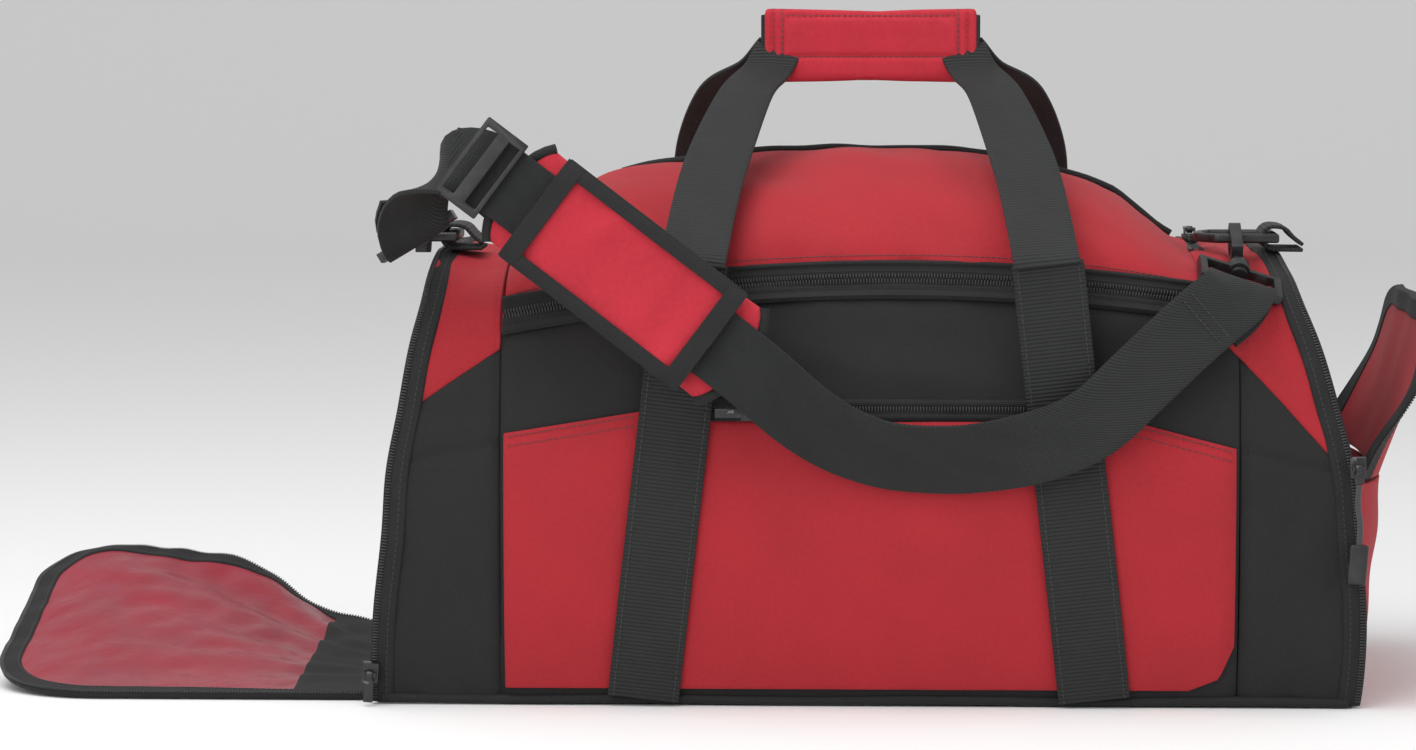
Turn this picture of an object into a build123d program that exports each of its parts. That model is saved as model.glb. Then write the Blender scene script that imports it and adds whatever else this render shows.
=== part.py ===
"""Sports duffel bag with two end pockets, a zipped lid, webbing handles and a shoulder strap.

Millimetres. X runs along the bag to the right, Y to the back, Z up.
The origin is the middle of the flat base, on the floor.
"""

from build123d import *
from math import radians, sin, tan
import os

os.makedirs("parts", exist_ok=True)

# Body of the bag
SEAM_X = 196.0          # seams between the main compartment and the end pockets
HALF_BASE = 126.0       # half depth at the floor
HALF_MID = 139.0        # half depth where the long walls bulge most
MID_Z = 110.0
HALF_ZIP = 119.5        # half depth at the main zip
ZIP_TOP_Z = 230.0
WALL = 3.0              # fabric, foam and lining together
POCKET_TOP_Z = 238.0    # top of the end pockets
SHOULDER_Z = 158.0      # where the long wall turns into the rounded shoulder
SHOULDER_R = 80.0
POCKET_BULGE = 137.5
POCKET_BULGE_Z = 90.0
SHOULDER_HALF = 131.0
FLOOR = 2.5             # base fabric
BOARD = 4.0             # stiffener in the base
BOARD_HALF = 116.0
BOARD_SHORT = 8.0       # how far the stiffener stops short of each seam

# Rims of the end pockets: X at the top, at the middle and at the floor
LEFT_RIM = (-236.0, -256.0, -267.0)
RIGHT_RIM = (222.0, 256.0, 262.0)
RIM_MID_Z = 130.0
RIM_TAPE = 13.0

# Main zip line: height at the left end, the middle and the right end
ZIP_LEFT = (-SEAM_X, 208.5)
ZIP_MID = (0.0, 228.0)
ZIP_RIGHT = (SEAM_X, 214.0)
LID_RIGHT_X = 172.0
ZIP_TAPE = 9.0
ZIP_GAP = 0.4

# Webbing
WEB = 38.0
WEB_T = 2.4
HANDLE_PIVOT_Y = 153.0
HANDLE_PIVOT_Z = 240.0
LEG_FOOT_X = 120.0
LEG_TOP_X = 93.0
GRIP_HALF = 60.0

# Shoulder strap hardware
RING_Y = -72.0          # the rod that a hook hangs on, and the axis the strap swings about
RING_Z = 247.0
ROD = 5.0

FAR = 400.0             # further than the bag reaches in any direction, for cutting shapes
GENTLE = 0.1            # room between curved faces that lie on each other
CLEAR = 0.4             # room between pieces that move


def save(name, *solids):
    """Write one sub-part, which may be a group of separate solids."""
    group = [piece for shape in solids for piece in shape.solids()]
    shape = group[0] if len(group) == 1 else Compound(children=group)
    export_step(shape, f"parts/{name}.step")


def unit(v):
    return Vector(*v).normalized()


def band(stations, width, thick):
    """A flat strip through stations of (point, width direction), each section square to the run."""
    points = [Vector(*p) for p, _ in stations]
    wires = []
    for i, (_, side) in enumerate(stations):
        before = points[max(i - 1, 0)]
        after = points[min(i + 1, len(points) - 1)]
        run = (after - before).normalized()
        across = Vector(*side)
        across = (across - run * across.dot(run)).normalized()
        out = run.cross(across) * (thick / 2)
        across = across * (width / 2)
        p = points[i]
        corners = [p - across - out, p + across - out, p + across + out, p - across + out]
        wires.append(Wire.make_polygon(corners, close=True))
    return Solid.make_loft(wires, ruled=True)


def xz_prism(face, half_y=170.0):
    """Extrude a face drawn in X and Z through the whole depth of the bag."""
    return extrude(Plane.XZ * face, half_y, both=True)


def box_between(low, high):
    size = [b - a for a, b in zip(low, high)]
    middle = [(a + b) / 2 for a, b in zip(low, high)]
    return Pos(*middle) * Box(*size)


# ---------------------------------------------------------------- base

BASE_LEFT = LEFT_RIM[2] + 3.0
BASE_RIGHT = RIGHT_RIM[2] - 3.0
base_half = HALF_BASE - WALL - GENTLE
save("base_panel", box_between((BASE_LEFT, -base_half, 0), (BASE_RIGHT, base_half, FLOOR)))
board_x = SEAM_X - BOARD_SHORT
board_top = FLOOR + BOARD
save("base_board", box_between((-board_x, -BOARD_HALF, FLOOR), (board_x, BOARD_HALF, board_top)))


# ---------------------------------------------------------------- long walls


def long_wall(side, near, far):
    """Section of a long wall between two distances outside its inner line, as a YZ face."""
    def line(off):
        return ThreePointArc(
            (side * (HALF_BASE + off), 0),
            (side * (HALF_MID + off), MID_Z),
            (side * (HALF_ZIP + off), ZIP_TOP_Z),
        )
    inner = line(near)
    outer = line(far)
    return make_face([inner, Line(inner @ 1, outer @ 1), outer, Line(outer @ 0, inner @ 0)])


def long_slab(side, near, far, x0, x1):
    slab = extrude(Plane.YZ * long_wall(side, near, far), x1 - x0)
    return Pos(x0, 0, 0) * slab


def zip_strip(low, high, x0=-SEAM_X, x1=SEAM_X):
    """XZ face between two heights measured from the zip line."""
    def line(dz):
        ends = [(x, z + dz) for x, z in (ZIP_LEFT, ZIP_MID, ZIP_RIGHT)]
        return ThreePointArc(*ends)
    bottom = line(low)
    top = line(high)
    strip = make_face([bottom, Line(bottom @ 1, top @ 1), top, Line(top @ 0, bottom @ 0)])
    return strip & (Pos((x0 + x1) / 2, 0) * Rectangle(x1 - x0, 2 * FAR))


wall_keep = xz_prism(zip_strip(-FAR, -ZIP_TAPE - ZIP_GAP)) & box_between((-FAR, -FAR, 0), (FAR, FAR, FAR))
tape_keep = xz_prism(zip_strip(-ZIP_TAPE - ZIP_GAP, -ZIP_GAP, -SEAM_X + 2, LID_RIGHT_X))
tapes = []
for name, side in (("front", -1), ("back", 1)):
    slab = long_slab(side, -WALL, 0, -SEAM_X, SEAM_X)
    save(f"{name}_panel", slab & wall_keep)
    tapes.append(slab & tape_keep)

# ---------------------------------------------------------------- end pockets


def pocket_outline(inset):
    """YZ face inside the end pocket's section, drawn in by an inset."""
    shoulder = SHOULDER_HALF - SHOULDER_R
    r = SHOULDER_R - inset
    corner = r * sin(radians(45))
    foot = HALF_BASE - inset
    bulge = POCKET_BULGE - inset
    wide = SHOULDER_HALF - inset
    top = POCKET_TOP_Z - inset
    edges = [
        Line((-foot, 0), (foot, 0)),
        ThreePointArc((foot, 0), (bulge, POCKET_BULGE_Z), (wide, SHOULDER_Z)),
        ThreePointArc(
            (wide, SHOULDER_Z),
            (shoulder + corner, SHOULDER_Z + corner),
            (shoulder, top),
        ),
        Line((shoulder, top), (-shoulder, top)),
        ThreePointArc(
            (-shoulder, top),
            (-shoulder - corner, SHOULDER_Z + corner),
            (-wide, SHOULDER_Z),
        ),
        ThreePointArc((-wide, SHOULDER_Z), (-bulge, POCKET_BULGE_Z), (-foot, 0)),
    ]
    return make_face(edges)


def pocket_shell(x0, x1, thick=WALL):
    ring = pocket_outline(0) - pocket_outline(thick)
    return Pos(x0, 0, 0) * extrude(Plane.YZ * ring, x1 - x0)


def rim_region(rim, seam_x, from_edge, to_edge):
    """XZ face beside a rim, between two distances from its edge towards the seam."""
    way = -1 if seam_x > 0 else 1
    def line(off):
        return ThreePointArc(
            (rim[2] + way * off, -1),
            (rim[1] + way * off, RIM_MID_Z),
            (rim[0] + way * off, POCKET_TOP_Z + 1),
        )
    edge = line(to_edge)
    if from_edge is None:
        back = Line((seam_x, -1), (seam_x, POCKET_TOP_Z + 1))
    else:
        back = line(from_edge)
    return make_face([edge, Line(edge @ 1, back @ 1), back, Line(back @ 0, edge @ 0)])


# Dividers stand inside the walls, one at each seam
DIVIDER_GAP = 1.2
floor_half = base_half + GENTLE
floor_cut = box_between((-FAR, -floor_half, -FAR), (FAR, floor_half, WALL))
divider_face = Plane.YZ * (pocket_outline(WALL + DIVIDER_GAP) - Rectangle(FAR, 2 * FLOOR))
save("left_divider", Pos(-SEAM_X, 0, 0) * extrude(divider_face, WALL))
save("right_divider", Pos(SEAM_X - WALL, 0, 0) * extrude(divider_face, WALL))

# Colour break of each end pocket: heights at the seam and at the rim
BREAKS = {"left": (191.0, 130.0), "right": (207.0, 97.0)}
YOKE_HALF = 117.0       # half depth of the tongue that carries the right pocket's top up to the lid
YOKE_LOW = 222.0
for name, rim, seam_x, inner_x in (
    ("left", LEFT_RIM, -SEAM_X, -SEAM_X),
    ("right", RIGHT_RIM, SEAM_X, LID_RIGHT_X + CLEAR),
):
    reach = rim[2] * 1.1
    x0, x1 = sorted((reach, inner_x))
    ring = pocket_shell(x0, x1) - floor_cut
    save(f"{name}_rim_tape", ring & xz_prism(rim_region(rim, seam_x, RIM_TAPE, 0)))
    z_seam, z_rim = BREAKS[name]
    break_line = ((inner_x, z_seam), (rim[1] * 1.1, z_rim))
    over_top = ((rim[1] * 1.1, FAR), (inner_x, FAR))
    upper = make_face(Polyline(*break_line, *over_top, close=True))
    body = ring & xz_prism(rim_region(rim, seam_x, None, RIM_TAPE))
    top = body & xz_prism(upper)
    low = body - xz_prism(upper)
    if inner_x != seam_x:
        yoke = pocket_shell(inner_x, seam_x) & box_between((0, -YOKE_HALF, YOKE_LOW), (FAR, YOKE_HALF, FAR))
        top = top + yoke
    save(f"{name}_gusset_top", top)
    in_front = box_between((-FAR, -FAR, -FAR), (FAR, 0, FAR))
    save(f"{name}_gusset_front", low & in_front)
    save(f"{name}_gusset_back", low - in_front)

# Right end wall: the fixed lower half below the open zip, as X and height
WALL_FOOT = (259.5 + WALL, FLOOR)
WALL_BULGE = (271.0, 62.0)
WALL_TOP = (277.0, 119.0)
END_HALF = HALF_BASE - WALL - 2.0


def end_sheet(low, middle, high, thick):
    """XZ face of a curved sheet whose outer side runs through three points."""
    outer = ThreePointArc(low, middle, high)
    inner = Pos(-thick, 0) * outer
    return make_face([outer, Line(outer @ 1, inner @ 1), inner, Line(inner @ 0, outer @ 0)])


end_lower = end_sheet(WALL_FOOT, WALL_BULGE, WALL_TOP, WALL)
save("right_end_wall", xz_prism(end_lower, END_HALF))

# ---------------------------------------------------------------- main zip, body side

END_TAPE_T = 1.2
END_TAPE_HALF = 60.0
end_tape = pocket_shell(LID_RIGHT_X + CLEAR, LID_RIGHT_X + ZIP_TAPE, END_TAPE_T)
end_tape = end_tape & box_between((0, -END_TAPE_HALF, YOKE_LOW), (FAR, END_TAPE_HALF, FAR))
save("main_zip_body_tape", *tapes, Pos(0, 0, END_TAPE_T + GENTLE) * end_tape)

# ---------------------------------------------------------------- front pocket

POCKET_OUT = 2.5
POCKET_Z = 156.0
POCKET_FOOT = 9.0
CORNER = 26.0
MOUTH_HALF = 85.0
pocket_shape = make_face(
    Polyline(
        (-SEAM_X + 2, POCKET_FOOT),
        (-SEAM_X + 2, 147),
        (-MOUTH_HALF - WEB, POCKET_Z + 2),
        (-MOUTH_HALF, POCKET_Z + 2),
        (-MOUTH_HALF, POCKET_Z - 3),
        (MOUTH_HALF, POCKET_Z - 3),
        (MOUTH_HALF, POCKET_Z + 2),
        (MOUTH_HALF + WEB, POCKET_Z + 2),
        (SEAM_X - 2, 140),
        (SEAM_X - 2, POCKET_FOOT + CORNER),
        (SEAM_X - 10, POCKET_FOOT + 7),
        (SEAM_X - CORNER, POCKET_FOOT),
        close=True,
    )
)
pocket_layer = long_slab(-1, GENTLE, POCKET_OUT, -SEAM_X, SEAM_X)
save("front_pocket_panel", pocket_layer & xz_prism(pocket_shape))
MOUTH_ZIP = 12.0
mouth = Pos(0, POCKET_Z - 3 + GENTLE + MOUTH_ZIP / 2) * Rectangle(2 * MOUTH_HALF - 1, MOUTH_ZIP)
save("front_pocket_zip", pocket_layer & xz_prism(mouth))

# ---------------------------------------------------------------- lid

# X, height of the edges, height of the crest
LID_STATIONS = (
    (-192.0, 217.0, 247.0),
    (-168.0, 222.0, 265.0),
    (-144.0, 225.0, 278.0),
    (-100.0, 230.0, 287.0),
    (0.0, 236.0, 292.0),
    (60.0, 235.0, 291.0),
    (106.0, 232.0, 281.0),
    (133.0, 230.0, 269.0),
    (152.0, 228.0, 254.0),
    (LID_RIGHT_X, 226.0, 246.0),
)
LID_TAPE = 8.0
LID_FOOT_Z = 200.0


def lid_section(x, edge, crest):
    """Arched strip across the lid, with straight sides that run down past the zip line."""
    half = HALF_ZIP
    near = HALF_ZIP - WALL
    section = make_face([
        ThreePointArc((-half, edge), (0, crest), (half, edge)),
        Line((half, edge), (half, LID_FOOT_Z)),
        Line((half, LID_FOOT_Z), (near, LID_FOOT_Z)),
        Line((near, LID_FOOT_Z), (near, edge - 1)),
        ThreePointArc((near, edge - 1), (0, crest - WALL), (-near, edge - 1)),
        Line((-near, edge - 1), (-near, LID_FOOT_Z)),
        Line((-near, LID_FOOT_Z), (-half, LID_FOOT_Z)),
        Line((-half, LID_FOOT_Z), (-half, edge)),
    ])
    return (Pos(x, 0, 0) * (Plane.YZ * section)).face().outer_wire()


above_tape = xz_prism(zip_strip(ZIP_GAP + LID_TAPE, FAR))
lid_shell = Solid.make_loft([lid_section(*station) for station in LID_STATIONS], ruled=True)
save("lid_panel", lid_shell & above_tape)
lid_tape = xz_prism(zip_strip(ZIP_GAP, ZIP_GAP + LID_TAPE, LID_STATIONS[0][0], LID_RIGHT_X))
LID_TAPE_T = 1.8
front_tape = box_between((-FAR, -HALF_ZIP, 0), (FAR, -HALF_ZIP + LID_TAPE_T, FAR)) & lid_tape
save("main_zip_lid_tape", front_tape, mirror(front_tape, Plane.XZ))

# ---------------------------------------------------------------- webbing handles

# Height, half depth of the webbing's middle as it climbs the wall to the handle's fold
LEG_LINE = (
    (4.0, 132.0),
    (40.0, 138.6),
    (75.0, 142.2),
    (115.0, 143.4),
    (155.0, 143.2),
    (238.4, 152.8),
)
LEG_FOOT_Z = LEG_LINE[0][0]


def leg_x(z):
    """The two legs of a handle lean towards each other."""
    share = (z - LEG_FOOT_Z) / (HANDLE_PIVOT_Z - LEG_FOOT_Z)
    return LEG_FOOT_X + (LEG_TOP_X - LEG_FOOT_X) * share


for name, side in (("front", -1), ("back", 1)):
    for hand, way in (("left", -1), ("right", 1)):
        line = [((way * leg_x(z), side * y, z), (1, 0, 0)) for z, y in LEG_LINE]
        save(f"{name}_{hand}_webbing", band(line, WEB, WEB_T))

# A handle's free leg: half spacing, half depth and height from the fold up to the grip
HANDLE_LINES = {
    "front": (
        (92.8, 151.2, 241.3),
        (84.0, 92.0, 283.0),
        (69.0, 34.0, 322.0),
        (57.0, 12.0, 336.0),
        (51.0, 5.8, 347.0),
    ),
    "back": (
        (92.8, 151.2, 241.3),
        (95.0, 92.0, 283.0),
        (82.0, 34.0, 322.0),
        (61.0, 12.0, 336.0),
        (51.0, 5.8, 347.0),
    ),
}
GRIP_W = 43.0
GRIP_TOP_Z = 371.0
LEAF_Y = 4.4            # middle of each handle's grip, so the two grips just clear each other
LEAF_T = 7.2
BAR_OVER = 2.0          # how far the webbing inside a grip runs past it
BAR_SHORT = 4.0         # how far it stays below the grip's folded top edge
for name, side in (("front", -1), ("back", 1)):
    legs = []
    for way in (-1, 1):
        line = [((way * x, side * y, z), (1, 0, 0)) for x, y, z in HANDLE_LINES[name]]
        legs.append(band(line, WEB - 3, WEB_T))
    bar_long = 2 * (GRIP_HALF + BAR_OVER)
    bar_high = GRIP_W - 2 * BAR_SHORT + 1
    grip_mid = GRIP_TOP_Z - GRIP_W / 2
    bar = Pos(0, side * LEAF_Y, grip_mid) * Box(bar_long, WEB_T, bar_high)
    save(f"{name}_handle_webbing", legs[0] + bar + legs[1])
    wrap = Pos(0, side * (LEAF_Y + 0.1), grip_mid) * Box(2 * GRIP_HALF, LEAF_T, GRIP_W)
    save(f"{name}_grip", wrap - legs[0] - legs[1] - bar)

# ---------------------------------------------------------------- pocket flaps

FLAP_HINGE_X = -269.0
FLAP_END_X = -478.0
FLAP_HALF = 117.0
FLAP_T = 2.4
FLAP_R = 62.0
BINDING = 12.0
# X, height of the back edge: the open flap lies on its front edge and curls up at the back
FLAP_STATIONS = (
    (FLAP_HINGE_X, 0.2),
    (-315.0, 18.0),
    (-375.0, 52.0),
    (-430.0, 62.0),
    (FLAP_END_X, 60.0),
)


def flap_corners(x, back):
    front = Vector(x, -FLAP_HALF, 0.2)
    behind = Vector(x, FLAP_HALF, back)
    up = Vector(0, 0, FLAP_T)
    return Wire.make_polygon([front, behind, behind + up, front + up], close=True)


flap_sheet = Solid.make_loft([flap_corners(x, back) for x, back in FLAP_STATIONS], ruled=True)


def flap_shape(inset):
    """Plan of the flap, rounded at its two outer corners."""
    x0 = FLAP_HINGE_X + 1
    x1 = FLAP_END_X + inset
    half = FLAP_HALF - inset
    r = FLAP_R - inset
    bend = r * (1 - sin(radians(45)))
    return make_face([
        Line((x0, -half), (x1 + r, -half)),
        ThreePointArc((x1 + r, -half), (x1 + bend, -half + bend), (x1, -half + r)),
        Line((x1, -half + r), (x1, half - r)),
        ThreePointArc((x1, half - r), (x1 + bend, half - bend), (x1 + r, half)),
        Line((x1 + r, half), (x0, half)),
        Line((x0, half), (x0, -half)),
    ])


def flap_piece(face):
    return flap_sheet & extrude(face, 120)


save("ball_flap_panel", flap_piece(flap_shape(BINDING)))
save("ball_flap_binding", flap_piece(flap_shape(0) - flap_shape(BINDING)))

# Upper half of the right end, folded out from the open zip: X and height
FLAP_GAP = 2.0
FLAP_MIDDLE = (291.0, 165.0)
FLAP_TIP = (300.0, 214.0)
FLAP_ROUND = 60.0
flap_foot = (WALL_TOP[0] + GENTLE, WALL_TOP[1] + FLAP_GAP)
end_upper = xz_prism(end_sheet(flap_foot, FLAP_MIDDLE, FLAP_TIP, WALL), END_HALF)


def end_plan(inset, r):
    """Solid that keeps what is inside the flap's rounded outline, as seen from the end."""
    plan = RectangleRounded(2 * (END_HALF - inset), 2 * (FLAP_TIP[1] / 2 - inset), r)
    return extrude(Plane.YZ * (Pos(0, FLAP_TIP[1] / 2) * plan), FAR)


end_upper = end_upper & end_plan(0, FLAP_ROUND)
end_inner = end_plan(BINDING, FLAP_ROUND - BINDING)
save("end_flap_panel", end_upper & end_inner)
save("end_flap_tape", end_upper - end_inner)

# ---------------------------------------------------------------- anchor tabs and D-rings

RING_HALF = 22.0        # half the distance between the middles of the ring's two legs
RING_Y_MID = RING_Y + RING_HALF
RING_BOW = 9.0          # how far the far end bows out
TAB_T = 2.0
TAB_TAIL = 16.0
# Name, X of the bar that the tab holds, length of the legs, way that they run
RINGS = (("left", -226.0, 24.0, -1), ("right", 218.0, 31.0, -1))


def d_ring(bar_x, leg, way):
    """A moulded D: bar along Y, two legs, and a bowed far end."""
    def outline(off):
        half = RING_HALF + off
        near = bar_x - way * off
        far = bar_x + way * leg
        return make_face([
            Line((near, -half), (far, -half)),
            ThreePointArc((far, -half), (far + way * (RING_BOW + off), 0), (far, half)),
            Line((far, half), (near, half)),
            Line((near, half), (near, -half)),
        ])
    ring = outline(ROD / 2) - outline(-ROD / 2)
    return Pos(0, RING_Y_MID, RING_Z - ROD / 2) * extrude(ring, ROD)


for name, bar_x, leg, way in RINGS:
    save(f"{name}_d_ring", d_ring(bar_x, leg, way))
    room = ROD * 0.71 + CLEAR       # the rod is square, so its corners need this much
    half = RING_HALF - ROD / 2 - 1.0
    thick = room + TAB_T
    middle = (bar_x + TAB_TAIL / 2, RING_Y_MID, RING_Z)
    block = Pos(*middle) * Box(TAB_TAIL, 2 * half, 2 * thick)
    nose = Pos(bar_x, RING_Y_MID, RING_Z) * Cylinder(thick, 2 * half, rotation=(90, 0, 0))
    bore = Pos(bar_x, RING_Y_MID, RING_Z) * Cylinder(room, 2 * half, rotation=(90, 0, 0))
    pad_low = (bar_x - 2, RING_Y_MID - half, POCKET_TOP_Z + GENTLE)
    pad_high = (bar_x + TAB_TAIL, RING_Y_MID + half, RING_Z - thick + 0.5)
    save(f"{name}_anchor_tab", block + nose + box_between(pad_low, pad_high) - bore)

# ---------------------------------------------------------------- snap hooks

EYE_R = 4.6             # room round the ring's rod
EYE_OUT = 8.4
EYE_LONG = 14.0
HOOK_T = 6.0
GATE_LONG = 10.4
GATE_T = 3.4
MOUTH = (9.0, 6.5)      # middle of the mouth that the gate closes, along and across the hook
HOOK_LONG = 24.0
NECK_R = 3.0
NECK_LONG = 15.0
HEAD_R = 4.4
HOOK_X = {"left": -241.0, "right": 196.5}
HOOK_DIR = {"left": (0, -1.0, 0.06), "right": (0, -0.90, -0.436)}
LOOP_DIR = {"left": (0.85, 0.04, 0.52), "right": (0.93, 0.13, -0.30)}
LOOP_W = 46.0
LOOP_LONG = 20.0
LOOP_MID = 45.0         # middle of the loop, along the hook from its grip
BOSS_MID = 34.5
BOSS = (6.0, 6.6)       # radius and length
WINDOW = 14.0

for name in ("left", "right"):
    along = unit(HOOK_DIR[name])
    grip = Vector(HOOK_X[name], RING_Y, RING_Z)
    frame = Plane(origin=grip, x_dir=along, z_dir=Vector(1, 0, 0))
    eye = Circle(EYE_OUT) + Pos(HOOK_LONG / 2, 0) * Rectangle(HOOK_LONG, 2 * EYE_OUT)
    hole = Circle(EYE_R) + Pos(EYE_LONG / 2, 0) * Rectangle(EYE_LONG, 2 * EYE_R)
    mouth = Pos(*MOUTH) * Rectangle(GATE_LONG + 2 * CLEAR, 6.0)
    hook = extrude(eye - hole - mouth, HOOK_T / 2, both=True)
    neck_mid = HOOK_LONG + NECK_LONG / 2 - 0.5
    neck = Pos(neck_mid, 0, 0) * Cylinder(NECK_R, NECK_LONG, rotation=(0, 90, 0))
    head = Pos(HOOK_LONG + NECK_LONG + 1, 0, 0) * Cylinder(HEAD_R, 3, rotation=(0, 90, 0))
    save(f"{name}_hook", frame * (hook + neck + head))
    bolt = Pos(*MOUTH) * Rectangle(GATE_LONG, GATE_T)
    save(f"{name}_gate", frame * extrude(bolt, HOOK_T / 2 - 0.5, both=True))
    wide = unit(LOOP_DIR[name])
    wide = (wide - along * wide.dot(along)).normalized()
    loop_frame = Plane(origin=grip, x_dir=along, z_dir=along.cross(wide))
    window = Pos(-0.5, 0) * Rectangle(WINDOW, LOOP_W - 8.0)
    rim = Pos(LOOP_MID, 0) * (Rectangle(LOOP_LONG, LOOP_W) - window)
    loop = extrude(rim, 2.6, both=True)
    boss = Pos(BOSS_MID, 0, 0) * Cylinder(*BOSS, rotation=(0, 90, 0))
    bore = Pos(BOSS_MID, 0, 0) * Cylinder(NECK_R + CLEAR, 2 * BOSS[1], rotation=(0, 90, 0))
    save(f"{name}_swivel_loop", loop_frame * (loop + boss - bore))

# ---------------------------------------------------------------- shoulder strap

PAD_LOW = (-66.0, -175.0, 186.0)
PAD_HIGH = (-190.0, -157.0, 279.0)
PAD_SIDE = (0.602, 0.0, 0.798)
STRAP_RIGHT = [
    ((195.0, -129.0, 219.2), (0.93, 0.13, -0.30)),
    ((180.0, -139.0, 210.5), (0.84, 0.05, -0.54)),
    ((163.0, -146.0, 197.0), (0.78, 0.0, -0.62)),
    ((141.0, -152.0, 178.0), (0.74, -0.05, -0.66)),
    ((118.0, -155.0, 155.0), (0.62, 0, -0.78)),
    ((92.0, -156.0, 140.0), (0.42, 0, -0.90)),
    ((58.0, -156.0, 132.0), (0.15, 0.25, -0.95)),
    ((21.0, -157.0, 131.0), (0, 0.35, -0.93)),
    ((-10.0, -160.0, 139.0), (-0.3, 0.3, -0.90)),
    ((-35.0, -166.0, 156.0), (-0.52, 0.15, -0.84)),
    (PAD_LOW, tuple(-v for v in PAD_SIDE)),
]
STRAP_LEFT = [
    (PAD_HIGH, PAD_SIDE),
    ((-204.0, -154.0, 289.0), PAD_SIDE),
    ((-222.0, -149.0, 293.0), (0.62, 0, 0.78)),
    ((-237.0, -142.0, 284.0), (0.70, 0.1, 0.70)),
    ((-244.0, -135.0, 268.0), (0.80, 0.1, 0.58)),
    ((-242.0, -131.0, 253.0), (0.85, 0.04, 0.52)),
]
straight = [(PAD_LOW, PAD_SIDE), (PAD_HIGH, PAD_SIDE)]
strap_parts = [band(line, WEB, WEB_T) for line in (STRAP_RIGHT, straight, STRAP_LEFT)]
strap = strap_parts[0] + strap_parts[1] + strap_parts[2]
save("strap_webbing", strap)

run = (Vector(*PAD_HIGH) - Vector(*PAD_LOW))
pad_long = run.length
pad_plane = Plane(
    origin=(Vector(*PAD_LOW) + Vector(*PAD_HIGH)) * 0.5,
    x_dir=run,
    z_dir=run.cross(Vector(*PAD_SIDE)),
)
PAD_W = 63.0
PAD_T = 5.0
COVER_LONG = 112.0
COVER_T = 2.0
front_sign = -1 if pad_plane.z_dir.Y > 0 else 1
base_gap = front_sign * -(WEB_T / 2 + CLEAR)
pad_base = extrude(RectangleRounded(pad_long, PAD_W, 8), -front_sign * PAD_T)
save("pad_base", pad_plane * Pos(0, 0, base_gap) * pad_base)
pad_cover = extrude(RectangleRounded(COVER_LONG, PAD_W, 3), front_sign * COVER_T)
save("pad_cover", pad_plane * Pos(0, 0, -base_gap) * pad_cover)

GLIDE_AT = (-203.0, -155.0, 288.0)
GLIDE_LONG = 26.0
GLIDE_T = 3.0
glide_plane = Plane(origin=GLIDE_AT, x_dir=Vector(*PAD_SIDE), z_dir=Vector(0, -1, 0))
slot = Rectangle(WEB + 1, GLIDE_LONG / 4)
glide = Rectangle(WEB + 10, GLIDE_LONG) - Pos(0, 7) * slot - Pos(0, -7) * slot
save("tri_glide", glide_plane * Pos(0, 0, WEB_T + 1.6) * extrude(glide, GLIDE_T))

# ---------------------------------------------------------------- zip sliders

SLIDER = (11.0, 8.5, 4.5)
POST_Z = 6.9            # height of the pull's pin over the tape
PIN_R = 1.0


def slider_frame(at, travel, out):
    return Plane(origin=at, x_dir=unit(travel), z_dir=unit(out))


def slider():
    """Slider with two posts and the pin that its pull turns on; X is the way it travels."""
    block = Pos(0, 0, SLIDER[2] / 2) * Box(*SLIDER)
    post = Box(2.6, 1.2, POST_Z + 1.1 - SLIDER[2])
    posts = [Pos(0, side * 2.7, (POST_Z + 1.1 + SLIDER[2]) / 2) * post for side in (-1, 1)]
    pin = Pos(0, 0, POST_Z) * Cylinder(PIN_R, 6.0, rotation=(90, 0, 0))
    return block + posts[0] + posts[1] + pin


def pull(long, way):
    """Flat tab with an eye round the slider's pin, lying along the zip."""
    eye = Cylinder(2.0, 3.4, rotation=(90, 0, 0)) + Pos(way * 2.6, 0, 0) * Box(3.2, 3.4, 1.6)
    tab = Pos(way * (3.2 + long / 2), 0, 0) * Box(long, 5.0, 1.6)
    return Pos(0, 0, POST_Z) * (eye + tab - Cylinder(PIN_R + 0.35, 8, rotation=(90, 0, 0)))


# Where each slider is, the way it travels, the way its face looks, its pull's length and direction
SLIDERS = {
    "main": ((177.2, 6.0, POCKET_TOP_Z + 2.7), (0, 1, 0), (0, 0, 1), 18.0, 1),
    "front_pocket": ((-62.0, -142.3, 158.5), (1, 0, 0), (0, -1, 0), 16.0, -1),
    "left_pocket": ((-265.5, -131.9, 18.0), (0.09, -0.13, 1), (0, -1, -0.13), 12.0, -1),
    "right_pocket": ((257.5, -138.3, 130.0), (0.045, 0, -1), (0, -1, 0), 5.4, 1),
}
for name, (at, travel, out, long, way) in SLIDERS.items():
    frame = slider_frame(at, travel, out)
    save(f"{name}_slider", frame * slider())
    save(f"{name}_pull", frame * pull(long, way))

# Cord from the right slider's tab down to its moulded end
CORD_D = 3.2
CORD_POINTS = [
    (257.9, -145.2, 121.0),
    (256.6, -146.4, 111.0),
    (259.0, -145.6, 100.4),
    (258.2, -145.2, 89.6),
]
cord_vectors = [Vector(*p) for p in CORD_POINTS]
runs = [b - a for a, b in zip(cord_vectors, cord_vectors[1:])]
radii = []
for one, two in zip(runs, runs[1:]):
    turn = radians(one.get_angle(two))
    radii.append(0.45 * min(one.length, two.length) / tan(turn / 2))
print("cord radii", [round(r, 1) for r in radii])
cord_path = FilletPolyline(*cord_vectors, radius=radii)
cord_face = Plane(origin=cord_path @ 0, z_dir=cord_path % 0) * Circle(CORD_D / 2)
save("right_pocket_cord", sweep(cord_face, path=cord_path))
end_plane = Plane(origin=cord_path @ 1, x_dir=Vector(1, 0, 0), z_dir=cord_path % 1)
CORD_END = (10.0, 5.5, 21.0)
moulding = extrude(RectangleRounded(CORD_END[0], CORD_END[1], 1.5), CORD_END[2])
save("right_pocket_cord_end", end_plane * moulding)
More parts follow.
